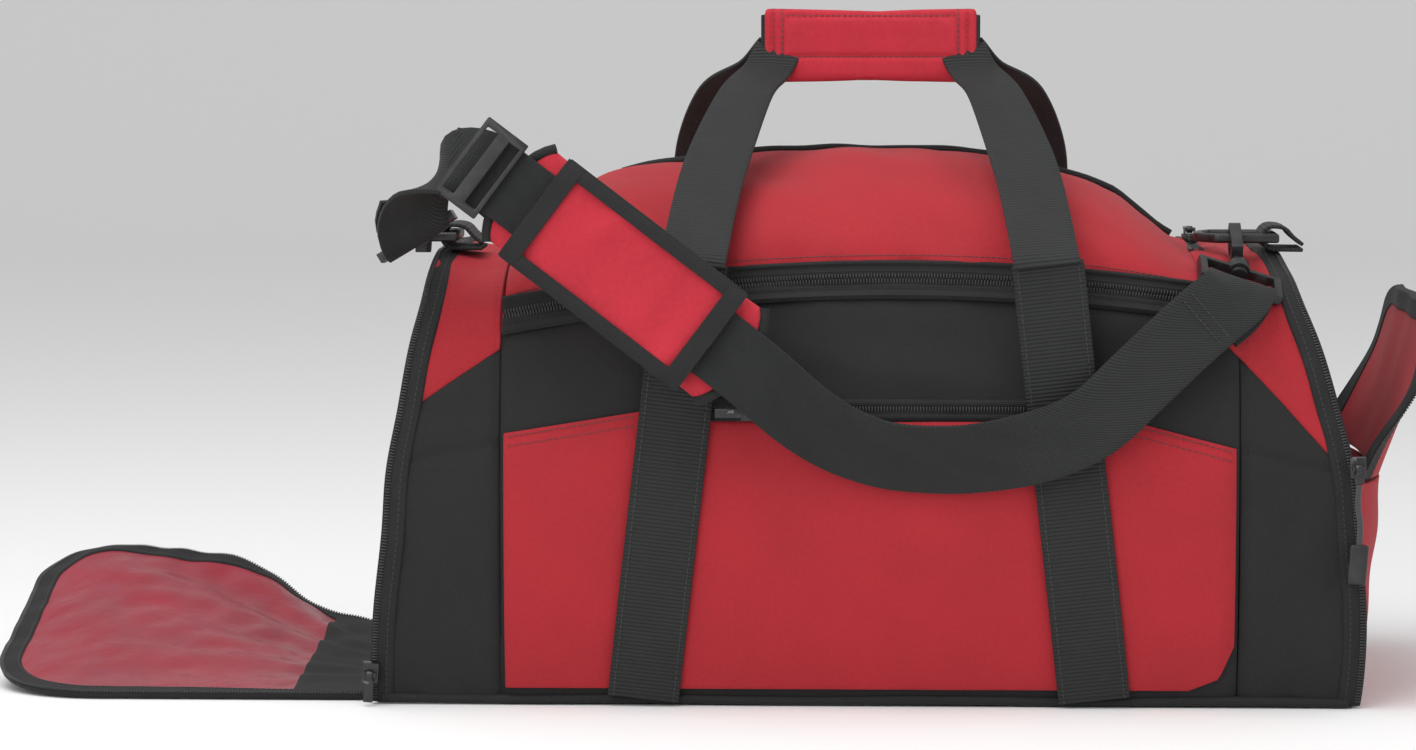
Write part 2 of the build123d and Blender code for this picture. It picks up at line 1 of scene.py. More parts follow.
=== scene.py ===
import bpy
import numpy as np
from math import cos, pi, radians, sin
from mathutils import Matrix, Vector


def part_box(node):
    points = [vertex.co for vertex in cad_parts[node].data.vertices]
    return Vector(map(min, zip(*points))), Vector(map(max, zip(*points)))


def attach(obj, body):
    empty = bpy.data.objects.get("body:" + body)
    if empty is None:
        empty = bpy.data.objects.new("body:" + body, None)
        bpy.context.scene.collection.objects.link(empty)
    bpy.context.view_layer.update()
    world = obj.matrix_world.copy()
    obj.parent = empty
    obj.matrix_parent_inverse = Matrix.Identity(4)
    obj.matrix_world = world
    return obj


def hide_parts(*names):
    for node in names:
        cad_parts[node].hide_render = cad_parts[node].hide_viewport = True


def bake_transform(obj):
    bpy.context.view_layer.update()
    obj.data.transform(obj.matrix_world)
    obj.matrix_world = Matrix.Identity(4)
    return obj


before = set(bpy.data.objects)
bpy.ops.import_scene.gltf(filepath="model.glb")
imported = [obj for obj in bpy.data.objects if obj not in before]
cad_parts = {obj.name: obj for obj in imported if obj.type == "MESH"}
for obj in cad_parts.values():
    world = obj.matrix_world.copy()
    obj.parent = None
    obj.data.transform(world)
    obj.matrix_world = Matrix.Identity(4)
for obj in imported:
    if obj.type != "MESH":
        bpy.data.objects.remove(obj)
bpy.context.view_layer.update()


# ---------------------------------------------------------------- camera
# A long lens in front of the bag, just above the top of the grips, looking a little down.

LENS_MM = 123.6
CAMERA_AT = (0.0042, -2.6984, 0.392)
CAMERA_DOWN = 4.78
CAMERA_TURN = 2.0

camera_data = bpy.data.cameras.new("camera")
camera = bpy.data.objects.new("camera", camera_data)
bpy.context.scene.collection.objects.link(camera)
camera_data.lens = LENS_MM
camera_data.sensor_width = 36.0
camera.location = CAMERA_AT
camera.rotation_euler = (radians(90 - CAMERA_DOWN), 0, radians(CAMERA_TURN))
bpy.context.scene.camera = camera


# ---------------------------------------------------------------- pull cord of the right end pocket
# A short braided polyester cord, knotted into the zip's pull and crimped into a moulded plastic
# end, so that a gloved hand can find it.


class Wire:
    """A shader socket: Python's signs make its Math nodes, and add() makes any other node."""

    def __init__(self, tree, socket=None):
        self.tree = tree
        self.socket = socket

    def add(self, kind, inputs=None, out=0, stops=None, **settings):
        node = self.tree.nodes.new("ShaderNode" + kind)
        for key, value in settings.items():
            setattr(node, key, value)
        if stops:
            for element, (place, shade) in zip(node.color_ramp.elements, stops):
                element.position = place
                element.color = (*shade, 1)
        for key, value in (inputs or {}).items():
            if isinstance(value, Wire):
                self.tree.links.new(value.socket, node.inputs[key])
            else:
                node.inputs[key].default_value = value
        return Wire(self.tree, node.outputs[out])

    def maths(self, operation, first, second=0.0):
        return self.add("Math", {0: first, 1: second}, operation=operation)

    def mixed(self, low, high):
        """A colour between two, by this value as the factor."""
        colours = {
            "A": low if isinstance(low, Wire) else (*low, 1),
            "B": high if isinstance(high, Wire) else (*high, 1),
        }
        node = self.tree.nodes.new("ShaderNodeMix")
        node.data_type = "RGBA"
        self.tree.links.new(self.socket, node.inputs["Factor"])
        sockets = {"A": node.inputs[6], "B": node.inputs[7]}
        for key, value in colours.items():
            if isinstance(value, Wire):
                self.tree.links.new(value.socket, sockets[key])
            else:
                sockets[key].default_value = value
        return Wire(self.tree, node.outputs[2])

    def noise(self, at, size, detail=2.0):
        """Cloudy noise from 0 to 1, whose lumps are about a size across, in metres."""
        return self.add("TexNoise", {"Vector": at, "Scale": 1 / size, "Detail": detail})

    def split(self, at):
        node = self.tree.nodes.new("ShaderNodeSeparateXYZ")
        self.tree.links.new(at.socket, node.inputs[0])
        return [Wire(self.tree, socket) for socket in node.outputs]

    def sine(self):
        return self.maths("SINE", self)

    def absolute(self):
        return self.maths("ABSOLUTE", self)

    def above(self, edge, soft):
        """0 below an edge and 1 above it, over a soft width."""
        ends = {0: self, 1: edge - soft / 2, 2: edge + soft / 2}
        return self.add("MapRange", ends, interpolation_type="SMOOTHSTEP")

    def __add__(self, other):
        return self.maths("ADD", self, other)

    def __radd__(self, other):
        return self.maths("ADD", other, self)

    def __sub__(self, other):
        return self.maths("SUBTRACT", self, other)

    def __rsub__(self, other):
        return self.maths("SUBTRACT", other, self)

    def __mul__(self, other):
        return self.maths("MULTIPLY", self, other)

    def __rmul__(self, other):
        return self.maths("MULTIPLY", other, self)


def finish(name, roughness=0.6, **sockets):
    """A new material, its shader, and a wire to start from. Constants go on the shader's sockets."""
    material = bpy.data.materials.new(name)
    material.use_nodes = True
    shader = material.node_tree.nodes["Principled BSDF"]
    shader.inputs["Roughness"].default_value = roughness
    for key, value in sockets.items():
        shader.inputs[key.replace("_", " ")].default_value = value
    return material, shader, Wire(material.node_tree)


def connect(wire, shader, **sockets):
    for key, value in sockets.items():
        wire.tree.links.new(value.socket, shader.inputs[key.replace("_", " ")])


def relief(wire, height, depth, strength=1.0):
    """Bump from a height between 0 and 1 that stands for a depth in metres."""
    return wire.add("Bump", {"Height": height, "Distance": depth, "Strength": strength}, out="Normal")


def braided_cord():
    """Black braid: two sets of strands that cross on the slant."""
    material, shader, wire = finish("braided_cord", 0.75, Sheen_Weight=0.25)
    at = wire.add("TexCoord", out="Object")
    x, y, z = wire.split(at)
    one = (x * 3200.0 + z * 2600.0).sine().absolute()
    two = (x * 3200.0 - z * 2600.0).sine().absolute()
    height = one.maths("MAXIMUM", one, two)
    surface_colour = (height * 0.8 + wire.noise(at, 0.0015) * 0.2).mixed((0.012, 0.012, 0.013), (0.05, 0.05, 0.052))
    connect(wire, shader, Base_Color=surface_colour, Normal=relief(wire, height, 0.0003))
    return material


def moulded_plastic():
    """Black acetal from a mould: satin, finely pebbled, scuffed a little paler where it is touched."""
    material, shader, wire = finish("moulded_plastic", 0.38, Specular_IOR_Level=0.5)
    at = wire.add("TexCoord", out="Object")
    pebble = wire.noise(at, 0.0006, 3.0)
    scuff = wire.noise(at, 0.009, 4.0).above(0.58, 0.2)
    surface_colour = (scuff * 0.7 + pebble * 0.3).mixed((0.009, 0.009, 0.0095), (0.028, 0.028, 0.030))
    rough = 0.34 + scuff * 0.20 + pebble * 0.08
    connect(wire, shader, Base_Color=surface_colour, Roughness=rough, Normal=relief(wire, pebble, 0.00005, 0.6))
    return material


def only(piece):
    """Select one piece alone and make it the active one."""
    bpy.ops.object.select_all(action="DESELECT")
    piece.select_set(True)
    bpy.context.view_layer.objects.active = piece


def apply_all(piece):
    only(piece)
    for modifier in list(piece.modifiers):
        bpy.ops.object.modifier_apply(modifier=modifier.name)


def placed(piece, body, slot, *nodes, across=None):
    """A finished piece rides on its body and stands for its CAD nodes, which it hides; slot is not used.

    With across given, the piece is baked in place and not put on its body; the start and end in across are
    not used.
    """
    if across:
        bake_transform(piece)
    else:
        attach(piece, body)
    if nodes:
        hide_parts(*nodes)
    return piece


def moulding(node, body, slot, material, edge=0.0006, name=None):
    """A moulded part: the CAD solid's own shape, merged into whole faces with rounded edges."""
    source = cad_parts[node]
    piece = bpy.data.objects.new(name or node + "_moulding", source.data.copy())
    bpy.context.scene.collection.objects.link(piece)
    only(piece)
    bpy.ops.object.mode_set(mode="EDIT")
    bpy.ops.mesh.select_all(action="SELECT")
    bpy.ops.mesh.remove_doubles(threshold=0.00001)
    bpy.ops.mesh.dissolve_limited(angle_limit=radians(1.5))
    bpy.ops.object.mode_set(mode="OBJECT")
    bevel = piece.modifiers.new("edges", "BEVEL")
    bevel.width = edge
    bevel.segments = 3
    bevel.limit_method = "ANGLE"
    bevel.angle_limit = radians(32)
    apply_all(piece)
    bpy.ops.object.shade_smooth_by_angle(angle=radians(40))
    piece.data.materials.clear()
    piece.data.materials.append(material)
    return placed(piece, body, slot, node)


BLACK_PLASTIC = moulded_plastic()
CORD_DIAMETER = 0.0032
CORD_POINTS = [
    (0.2579, -0.1452, 0.1210),
    (0.2566, -0.1464, 0.1110),
    (0.2590, -0.1456, 0.1004),
    (0.2582, -0.1452, 0.0896),
]
cord_curve = bpy.data.curves.new("pull_cord", "CURVE")
cord_curve.dimensions = "3D"
cord_curve.bevel_depth = CORD_DIAMETER / 2
cord_curve.bevel_resolution = 5
cord_curve.resolution_u = 16
cord_curve.use_fill_caps = True
cord_spline = cord_curve.splines.new("NURBS")
cord_spline.points.add(len(CORD_POINTS) - 1)
for point, place in zip(cord_spline.points, CORD_POINTS):
    point.co = (*place, 1)
cord_spline.order_u = 3
cord_spline.use_endpoint_u = True
pull_cord = bpy.data.objects.new("pull_cord", cord_curve)
bpy.context.scene.collection.objects.link(pull_cord)
pull_cord.data.materials.append(braided_cord())
placed(pull_cord, "right_pocket_pull", "cord", "right_pocket_cord")
cord_end = moulding("right_pocket_cord_end", "right_pocket_pull", "black_plastic", BLACK_PLASTIC, 0.0011)


# ---------------------------------------------------------------- long walls
# The front and back walls of the main compartment: black woven polyester with thin foam behind
# it, sewn to the base below, the end pockets at both sides and the zip tape above.


def woven_polyester(name, dark, light, where="UV", turn=0.0, gloss=0.78, pitch=0.0011, sheen=0.12):
    """Plain-woven polyester: threads over and under each other, uneven dye, a dull sheen."""
    material, shader, wire = finish(
        name, gloss, Sheen_Weight=sheen, Sheen_Roughness=0.5, Specular_IOR_Level=0.3
    )
    at = wire.add("TexCoord", out=where)
    if turn:
        at = wire.add("Mapping", {"Vector": at, "Rotation": (0, radians(turn), 0)})
    x, y, z = wire.split(at)
    other = y if where == "UV" else z
    step = 2 * pi / pitch
    crossing = (x * step).sine() * (other * step).sine()
    slub = wire.noise(at, 0.0022, 3.0)
    patch = wire.noise(at, 0.055, 3.0)
    factor = 0.5 + crossing * 0.16 + (slub - 0.5) * 0.55 + (patch - 0.5) * 0.75
    rough = gloss + (patch - 0.5) * 0.18
    height = crossing * 0.5 + slub * 0.7
    connect(wire, shader, Base_Color=factor.mixed(dark, light), Roughness=rough)
    connect(wire, shader, Normal=relief(wire, height, 0.00016, 0.7))
    return material


def arc_through(first, middle, last):
    """The circle through three (size, place) points, as a rule that gives the size at a place."""
    (a0, b0), (a1, b1), (a2, b2) = first, middle, last
    squares = [a * a + b * b for a, b in (first, middle, last)]
    turn = 2 * (a0 * (b1 - b2) + a1 * (b2 - b0) + a2 * (b0 - b1))
    a = (squares[0] * (b1 - b2) + squares[1] * (b2 - b0) + squares[2] * (b0 - b1)) / turn
    b = (squares[0] * (a2 - a1) + squares[1] * (a0 - a2) + squares[2] * (a1 - a0)) / turn
    radius = np.hypot(a0 - a, b0 - b)
    way = 1 if a1 > a else -1
    return lambda place: a + way * np.sqrt(np.maximum(radius**2 - (place - b) ** 2, 0))


def ripples(a, b, size, seed, waves=8):
    """Soft unevenness of cloth, about -1 to 1: a few seeded waves of about that size."""
    draw = np.random.default_rng(seed)
    total = np.zeros_like(a)
    for _ in range(waves):
        heading = draw.uniform(0, pi)
        length = size * draw.uniform(0.6, 1.7)
        total += np.sin((a * cos(heading) + b * sin(heading)) * 2 * pi / length + draw.uniform(0, 2 * pi))
    return total / waves**0.5 / 1.3


def near(distance, width):
    """1 on a line and 0 away from it, in a soft groove of that width."""
    return np.exp(-((distance / width) ** 2))


def laid_cloth(name, columns, rows, place, thick, material, edge=0.4):
    """Cloth laid by a rule. place(u, v) gives x, y and z for shares 0 to 1 across and up the piece.

    Its UV is the flat cut in metres, and its thickness goes to the side that its normals leave.
    """
    bpy.ops.object.select_all(action="DESELECT")
    bpy.ops.mesh.primitive_grid_add(x_subdivisions=columns, y_subdivisions=rows, size=2)
    piece = bpy.context.object
    piece.name = piece.data.name = name
    mesh = piece.data
    flat = np.array([v.co[:2] for v in mesh.vertices])
    us, column = np.unique(np.round(flat[:, 0] / 2 + 0.5, 6), return_inverse=True)
    vs, row = np.unique(np.round(flat[:, 1] / 2 + 0.5, 6), return_inverse=True)
    u, v = np.meshgrid(us, vs, indexing="ij")
    laid = np.stack(np.broadcast_arrays(*place(u, v)), axis=-1).astype(float)
    across = np.zeros(u.shape)
    across[1:] = np.cumsum(np.linalg.norm(np.diff(laid, axis=0), axis=2), axis=0)
    up = np.zeros(u.shape)
    up[:, 1:] = np.cumsum(np.linalg.norm(np.diff(laid, axis=1), axis=2), axis=1)
    mesh.vertices.foreach_set("co", laid[column, row].ravel())
    layer = mesh.uv_layers.active
    corner = np.zeros(len(mesh.loops), int)
    mesh.loops.foreach_get("vertex_index", corner)
    cut = np.stack([across[column, row], up[column, row]], axis=1)
    layer.data.foreach_set("uv", cut[corner].ravel())
    mesh.update()
    wall = piece.modifiers.new("thickness", "SOLIDIFY")
    wall.thickness = thick
    wall.offset = -1
    if edge:
        bevel = piece.modifiers.new("edge", "BEVEL")
        bevel.width = thick * edge
        bevel.segments = 2
        bevel.limit_method = "ANGLE"
        bevel.angle_limit = radians(55)
    apply_all(piece)
    bpy.ops.object.shade_smooth_by_angle(angle=radians(50))
    piece.data.materials.append(material)
    return piece


BLACK_DEEP, BLACK_PALE = (0.0075, 0.0070, 0.0072), (0.0215, 0.0205, 0.0208)
BLACK_CLOTH = woven_polyester("black_polyester", BLACK_DEEP, BLACK_PALE, sheen=0.05)
SEAM_X = 0.196
ZIP_BELOW = 0.0094       # the wall ends this far under the zip line
SEAM_TUCK = 0.0022
wall_half = arc_through((0.126, 0.0), (0.139, 0.110), (0.1195, 0.230))
zip_height = arc_through((0.2085, -SEAM_X), (0.228, 0.0), (0.214, SEAM_X))


def long_wall(side):
    """Rule for a long wall, uneven above its pocket and tucked in where it is sewn."""
    def place(u, v):
        x = -side * SEAM_X * (2 * u - 1)
        top = zip_height(x) - ZIP_BELOW
        z = 0.0008 + v * (top - 0.0008)
        free = np.clip((z - 0.158) / 0.02, 0, 1) if side < 0 else np.clip(z / 0.03, 0, 1)
        uneven = free * (0.0010 * ripples(x, z, 0.11, 3 + side) + 0.0006 * ripples(x, z, 0.035, 9 + side))
        seam = SEAM_TUCK * near(SEAM_X - np.abs(x), 0.0035)
        edge = 0.0012 * near(top - z, 0.004)
        depth = wall_half(z) - 0.0004 + uneven - seam - edge
        return x, side * depth, z
    return place


for name, side in (("front", -1), ("back", 1)):
    wall = laid_cloth(f"{name}_wall", 150, 84, long_wall(side), 0.0026, BLACK_CLOTH)
    placed(wall, "bag", "black_fabric", f"{name}_panel")

# ---------------------------------------------------------------- front pocket
# A flat patch pocket of red polyester, lined, sewn on along its sides and foot. Its upper
# corners slope down to the side seams, and two rows of stitching hold them.


def beads_along(name, bead, points, outs, pitch, material, lift=0.0):
    """One mesh of a small closed shape repeated along a line, its X along it and its Z outwards."""
    points = np.asarray(points, float)
    outs = np.broadcast_to(np.asarray(outs, float), points.shape)
    run = np.concatenate([[0], np.cumsum(np.linalg.norm(np.diff(points, axis=0), axis=1))])
    count = max(2, int(run[-1] / pitch))
    at = (np.arange(count) + 0.5) * run[-1] / count
    def along(values, places):
        return np.stack([np.interp(places, run, values[:, k]) for k in range(3)], axis=1)
    middle = along(points, at)
    after, before = np.minimum(at + pitch / 3, run[-1]), np.maximum(at - pitch / 3, 0)
    ahead = along(points, after) - along(points, before)
    ahead /= np.linalg.norm(ahead, axis=1)[:, None]
    out = along(outs, at)
    out -= (out * ahead).sum(1)[:, None] * ahead
    out /= np.linalg.norm(out, axis=1)[:, None]
    side = np.cross(out, ahead)
    shape, faces = bead
    spots = (
        middle[:, None]
        + shape[None, :, 0:1] * ahead[:, None]
        + shape[None, :, 1:2] * side[:, None]
        + (shape[None, :, 2:3] + lift) * out[:, None]
    )
    corners = [[i + n * len(shape) for i in face] for n in range(count) for face in faces]
    mesh = bpy.data.meshes.new(name)
    mesh.from_pydata(spots.reshape(-1, 3).tolist(), [], corners)
    mesh.shade_smooth()
    mesh.materials.append(material)
    piece = bpy.data.objects.new(name, mesh)
    bpy.context.scene.collection.objects.link(piece)
    return piece


def shape_of(piece):
    """Points and faces of a small modelled piece, which is then put away."""
    points = np.array([v.co[:] for v in piece.data.vertices])
    faces = [list(p.vertices) for p in piece.data.polygons]
    bpy.data.objects.remove(piece)
    return points, faces


def thread_bead(long=0.0026, thick=0.00055):
    """One stitch: a short length of thread, thin where it goes down into the cloth."""
    bpy.ops.object.select_all(action="DESELECT")
    bpy.ops.mesh.primitive_uv_sphere_add(segments=6, ring_count=4, radius=0.5)
    bead = bpy.context.object
    bpy.ops.object.mode_set(mode="EDIT")
    bpy.ops.mesh.select_all(action="SELECT")
    bpy.ops.transform.rotate(value=pi / 2, orient_axis="Y", center_override=(0, 0, 0))
    bpy.ops.transform.resize(value=(long, thick, thick), center_override=(0, 0, 0))
    bpy.ops.object.mode_set(mode="OBJECT")
    return shape_of(bead)


def sewing_thread(name, colour):
    """Twisted polyester thread with a slight gloss."""
    material, shader, wire = finish(name, 0.5, Sheen_Weight=0.2)
    at = wire.add("TexCoord", out="Object")
    x, y, z = wire.split(at)
    twist = ((x + z) * 9000.0).sine()
    pale = tuple(min(1.0, c * 1.7 + 0.01) for c in colour)
    connect(wire, shader, Base_Color=(0.5 + twist * 0.4).mixed(colour, pale))
    return material


def sewn(name, points, outs, body, slot, material, pitch=0.0031, lift=0.0001, across=None):
    return placed(beads_along(name, STITCH, points, outs, pitch, material, lift), body, slot, across=across)


def facing(points, out):
    """The same outward direction for every point of a line."""
    return np.tile(np.asarray(out, float), (len(points), 1))


STITCH = thread_bead()
BLACK_THREAD = sewing_thread("black_thread", (0.012, 0.012, 0.012))
RED_CLOTH = woven_polyester("red_polyester", (0.27, 0.0105, 0.0165), (0.45, 0.0200, 0.0310), sheen=0.05)
POCKET_PROUD = 0.0023
PATCH_EDGE = 0.194
WEB = 0.038
LEG_FOOT = (0.120, 0.004)
LEG_TOP = (0.093, 0.240)
PATCH_TOP_X = (-0.194, -0.123, -0.085, -0.0849, 0.0849, 0.085, 0.123, 0.194)
PATCH_TOP_Z = (0.1465, 0.158, 0.158, 0.1535, 0.1535, 0.158, 0.158, 0.1395)
PATCH_FOOT_X = (-0.194, 0.170, 0.186, 0.194)
PATCH_FOOT_Z = (0.009, 0.009, 0.0155, 0.034)


def leg_x(z):
    """Distance of a handle's webbing from the middle of the bag, at a height on the wall."""
    share = (z - LEG_FOOT[1]) / (LEG_TOP[1] - LEG_FOOT[1])
    return LEG_FOOT[0] + (LEG_TOP[0] - LEG_FOOT[0]) * share


def patch_depth(x, z, v=0.5):
    """How far the pocket's cloth stands from the middle of the bag: it puffs out between seams."""
    inside = np.clip(leg_x(z) - WEB / 2 - np.abs(x), 0, None)
    outside = np.clip(np.minimum(np.abs(x) - leg_x(z) - WEB / 2, PATCH_EDGE - np.abs(x)), 0, None)
    puff = 0.0034 * (1 - np.exp(-inside / 0.022)) + 0.0022 * (1 - np.exp(-outside / 0.012))
    puff = puff * np.sin(pi * np.clip(v, 0, 1)) ** 0.6
    uneven = 0.0005 * ripples(x, z, 0.09, 21) + 0.00025 * ripples(x, z, 0.03, 22)
    held = 1 - near(np.abs(np.abs(x) - leg_x(z)), WEB / 2)
    return wall_half(z) + POCKET_PROUD + puff + uneven * held


def patch(u, v):
    x = PATCH_EDGE * (2 * u - 1)
    foot = np.interp(x, PATCH_FOOT_X, PATCH_FOOT_Z)
    top = np.interp(x, PATCH_TOP_X, PATCH_TOP_Z)
    z = foot + v * (top - foot)
    hem = 0.0010 * near(top - z, 0.003) + 0.0012 * near(PATCH_EDGE - np.abs(x), 0.0025)
    return x, -(patch_depth(x, z, v) - hem), z


pocket = laid_cloth("front_pocket", 176, 70, patch, 0.0016, RED_CLOTH)
placed(pocket, "bag", "red_fabric", "front_pocket_panel")

for hand, inner, outer in (("left", -0.124, -0.192), ("right", 0.124, 0.192)):
    for row, down in enumerate((0.0022, 0.0072)):
        x = np.linspace(inner, outer, 40)
        z = np.interp(x, PATCH_TOP_X, PATCH_TOP_Z) - down
        line = np.stack([x, -patch_depth(x, z, 1 - down / 0.14), z], axis=1)
        sewn(f"pocket_{hand}_stitch_{row + 1}", line, (0, -1, 0), "bag", "black_fabric", BLACK_THREAD)


# ---------------------------------------------------------------- front pocket zip
# Nylon coil on a knitted tape, set in the black band between the two webbing legs, with the
# band's own cloth folded over it above and below.


def knitted_tape(name="zip_tape"):
    """Fine knitted tape: narrow wales along it, slightly glossy at the folds."""
    material, shader, wire = finish(name, 0.72, Sheen_Weight=0.04, Specular_IOR_Level=0.25)
    at = wire.add("TexCoord", out="UV")
    x, y, z = wire.split(at)
    wales = (y * 5600.0).sine()
    loops = (x * 4200.0 + wales * 1.2).sine()
    cloud = wire.noise(at, 0.02)
    factor = 0.5 + wales * 0.2 + loops * 0.15 + (cloud - 0.5) * 0.6
    surface_colour = factor.mixed((0.0075, 0.0075, 0.008), (0.0215, 0.0215, 0.0225))
    connect(wire, shader, Base_Color=surface_colour, Normal=relief(wire, wales * 0.5 + loops * 0.3, 0.00018, 0.8))
    return material


def coil_tooth(wide=0.0044, long=0.0011, high=0.0012):
    """One turn of the nylon coil, seen from outside: a small rounded bar across the zip."""
    bpy.ops.object.select_all(action="DESELECT")
    bpy.ops.mesh.primitive_cylinder_add(vertices=6, radius=0.5, depth=1.0)
    tooth = bpy.context.object
    bpy.ops.object.mode_set(mode="EDIT")
    bpy.ops.mesh.select_all(action="SELECT")
    bpy.ops.transform.rotate(value=pi / 2, orient_axis="X", center_override=(0, 0, 0))
    bpy.ops.transform.resize(value=(long, wide, high), center_override=(0, 0, 0))
    bpy.ops.mesh.bevel(offset=0.0002, segments=1)
    bpy.ops.object.mode_set(mode="OBJECT")
    return shape_of(tooth)


def nylon_coil():
    """Black nylon monofilament, a little glossy."""
    material, shader, wire = finish("nylon_coil", 0.36, Specular_IOR_Level=0.5)
    at = wire.add("TexCoord", out="Object")
    cloud = wire.noise(at, 0.006)
    surface_colour = cloud.mixed((0.012, 0.012, 0.013), (0.04, 0.04, 0.042))
    connect(wire, shader, Base_Color=surface_colour, Roughness=0.3 + cloud * 0.2)
    return material


ZIP_TAPE = knitted_tape()
NYLON = nylon_coil()
TOOTH = coil_tooth()
HALF_TOOTH = coil_tooth(0.0028)
TOOTH_PITCH = 0.0016


def zip_row(name, line, outs, body, lift=0.0, across=None):
    """A row of small nylon zip teeth along a line."""
    row = beads_along(name, HALF_TOOTH, line, outs, TOOTH_PITCH, NYLON, lift)
    return placed(row, body, "zip_tape", across=across)


BAND_LOW, BAND_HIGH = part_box("front_pocket_zip")


def band_depth(x, z):
    """The band's two folds of cloth stand out beside the sunken coil."""
    middle = (BAND_LOW.z + BAND_HIGH.z) / 2
    fold = 0.0012 * near(np.abs(z - middle) - 0.0036, 0.0022)
    return wall_half(z) + 0.0012 + fold + 0.0004 * ripples(x, z, 0.07, 31)


def band(u, v):
    x = BAND_LOW.x + (BAND_HIGH.x - BAND_LOW.x) * u
    z = BAND_LOW.z + (BAND_HIGH.z - BAND_LOW.z) * v
    return x, -band_depth(x, z), z


pocket_band = laid_cloth("front_pocket_band", 90, 14, band, 0.0010, ZIP_TAPE)
placed(pocket_band, "bag", "zip_tape", "front_pocket_zip")
x = np.linspace(BAND_LOW.x + 0.002, BAND_HIGH.x - 0.002, 60)
z = np.full_like(x, (BAND_LOW.z + BAND_HIGH.z) / 2)
coil_line = np.stack([x, -(wall_half(z) + 0.0016), z], axis=1)
coil = beads_along("front_pocket_coil", TOOTH, coil_line, (0, -1, 0), TOOTH_PITCH, NYLON)
placed(coil, "bag", "zip_tape")


# ---------------------------------------------------------------- webbing legs
# 38 mm polypropylene webbing sewn flat up each long wall, from the base to the fold where the
# handle starts. It is woven with ribs across it and has plain selvedges.


def ribbed_webbing():
    """Heavy black webbing: ribs across it, fine herringbone threads in them."""
    material, shader, wire = finish("ribbed_webbing", 0.66, Sheen_Weight=0.04, Specular_IOR_Level=0.3)
    at = wire.add("TexCoord", out="UV")
    along, across, z = wire.split(at)
    rib = (along * (pi / 0.0021)).sine().absolute()
    thread = (across * 7400.0 + (along * (2 * pi / 0.0021)).sine() * 0.9).sine()
    cloud = wire.noise(at, 0.03, 3.0)
    height = rib * 0.8 + thread * 0.12
    # Rib crests are painted paler than the hollows between them, a painted highlight on every rib; the
    # cloud noise adds real uneven tone.
    factor = rib * 0.55 + thread * 0.12 + (cloud - 0.5) * 0.5 + 0.12
    surface_colour = factor.mixed((0.0055, 0.0062, 0.0060), (0.0235, 0.0255, 0.0250))
    bumps = relief(wire, height, 0.00042, 0.9)
    connect(wire, shader, Base_Color=surface_colour, Roughness=0.72 - rib * 0.14, Normal=bumps)
    return material


def smooth_route(points, count):
    """Points evenly along a smooth line that goes through each point given."""
    points = np.asarray(points, float)
    padded = np.vstack([2 * points[0] - points[1], points, 2 * points[-1] - points[-2]])
    fine = []
    for i in range(len(points) - 1):
        a, b, c, d = padded[i : i + 4]
        t = np.linspace(0, 1, 24, endpoint=False)[:, None]
        square, cube = 2 * a - 5 * b + 4 * c - d, 3 * b - a - 3 * c + d
        fine.append((2 * b + (c - a) * t + square * t**2 + cube * t**3) / 2)
    fine = np.vstack([*fine, points[-1:]])
    run = np.concatenate([[0], np.cumsum(np.linalg.norm(np.diff(fine[:, :3], axis=0), axis=1))])
    at = np.linspace(0, run[-1], count)
    return np.stack([np.interp(at, run, fine[:, k]) for k in range(fine.shape[1])], axis=1)


def frames(route, sides):
    """Along, across and outward directions at each point of a strip."""
    ahead = np.gradient(route, axis=0)
    ahead /= np.linalg.norm(ahead, axis=1)[:, None]
    across = sides - (sides * ahead).sum(1)[:, None] * ahead
    across /= np.linalg.norm(across, axis=1)[:, None]
    return ahead, across, np.cross(ahead, across)


def strip(name, stations, width, thick, material, step=0.004, crown=0.0, rows=10, hollow=None):
    """A strip of webbing or tape through stations of (point, width direction).

    Its normals are along cross width. Its middle line is the middle of its thickness.
    """
    joined = np.array([[*point, *side] for point, side in stations], float)
    length = np.linalg.norm(np.diff(joined[:, :3], axis=0), axis=1).sum()
    count = max(4, int(length / step))
    laid = smooth_route(joined, count + 1)
    route, sides = laid[:, :3], laid[:, 3:]
    ahead, across, out = frames(route, sides)
    def place(u, v):
        index = np.round(u * count).astype(int)
        wide = width(u) if callable(width) else width
        off = ((v - 0.5) * wide)[..., None]
        lift = thick / 2 + crown * (1 - (2 * v - 1) ** 2)
        if hollow is not None:
            lift = lift + hollow(u, v)
        spot = route[index] + across[index] * off + out[index] * lift[..., None]
        return spot[..., 0], spot[..., 1], spot[..., 2]
    return laid_cloth(name, count, rows, place, thick, material, 0.3)


def edge_stitches(name, stations, width, thick, body, slot, material=None, inset=0.003, both=True):
    """Rows of stitching near the edges of a strip, on its outer side."""
    joined = np.array([[*point, *side] for point, side in stations], float)
    laid = smooth_route(joined, 60)
    ahead, across, out = frames(laid[:, :3], laid[:, 3:])
    made = []
    for row, side in enumerate((-1, 1) if both else (1,)):
        line = laid[:, :3] + across * side * (width / 2 - inset) + out * thick / 2
        made.append(sewn(f"{name}_{row + 1}", line, out, body, slot, material or BLACK_THREAD))
    return made


WEBBING = ribbed_webbing()
WEB_THICK = 0.0022
LEG_LINE = (
    (0.004, 0.1318), (0.040, 0.1386), (0.075, 0.1424), (0.115, 0.1436), (0.155, 0.1434), (0.2385, 0.1528),
)
for name, side in (("front", -1), ("back", 1)):
    for hand, way in (("left", -1), ("right", 1)):
        stations = [((way * leg_x(z), side * y, z), (side, 0, 0)) for z, y in LEG_LINE]
        leg = strip(f"{name}_{hand}_leg", stations, WEB, WEB_THICK, WEBBING)
        placed(leg, "bag", "webbing", f"{name}_{hand}_webbing")
        edge_stitches(f"{name}_{hand}_leg_stitch", stations, WEB, WEB_THICK, "bag", "webbing")


# ---------------------------------------------------------------- end pockets
# Each end pocket is a gusset of two colours round the bag: black cloth low down, red cloth over
# the top, joined on a slant. It is sewn to the walls at the seam and lined with coated cloth.


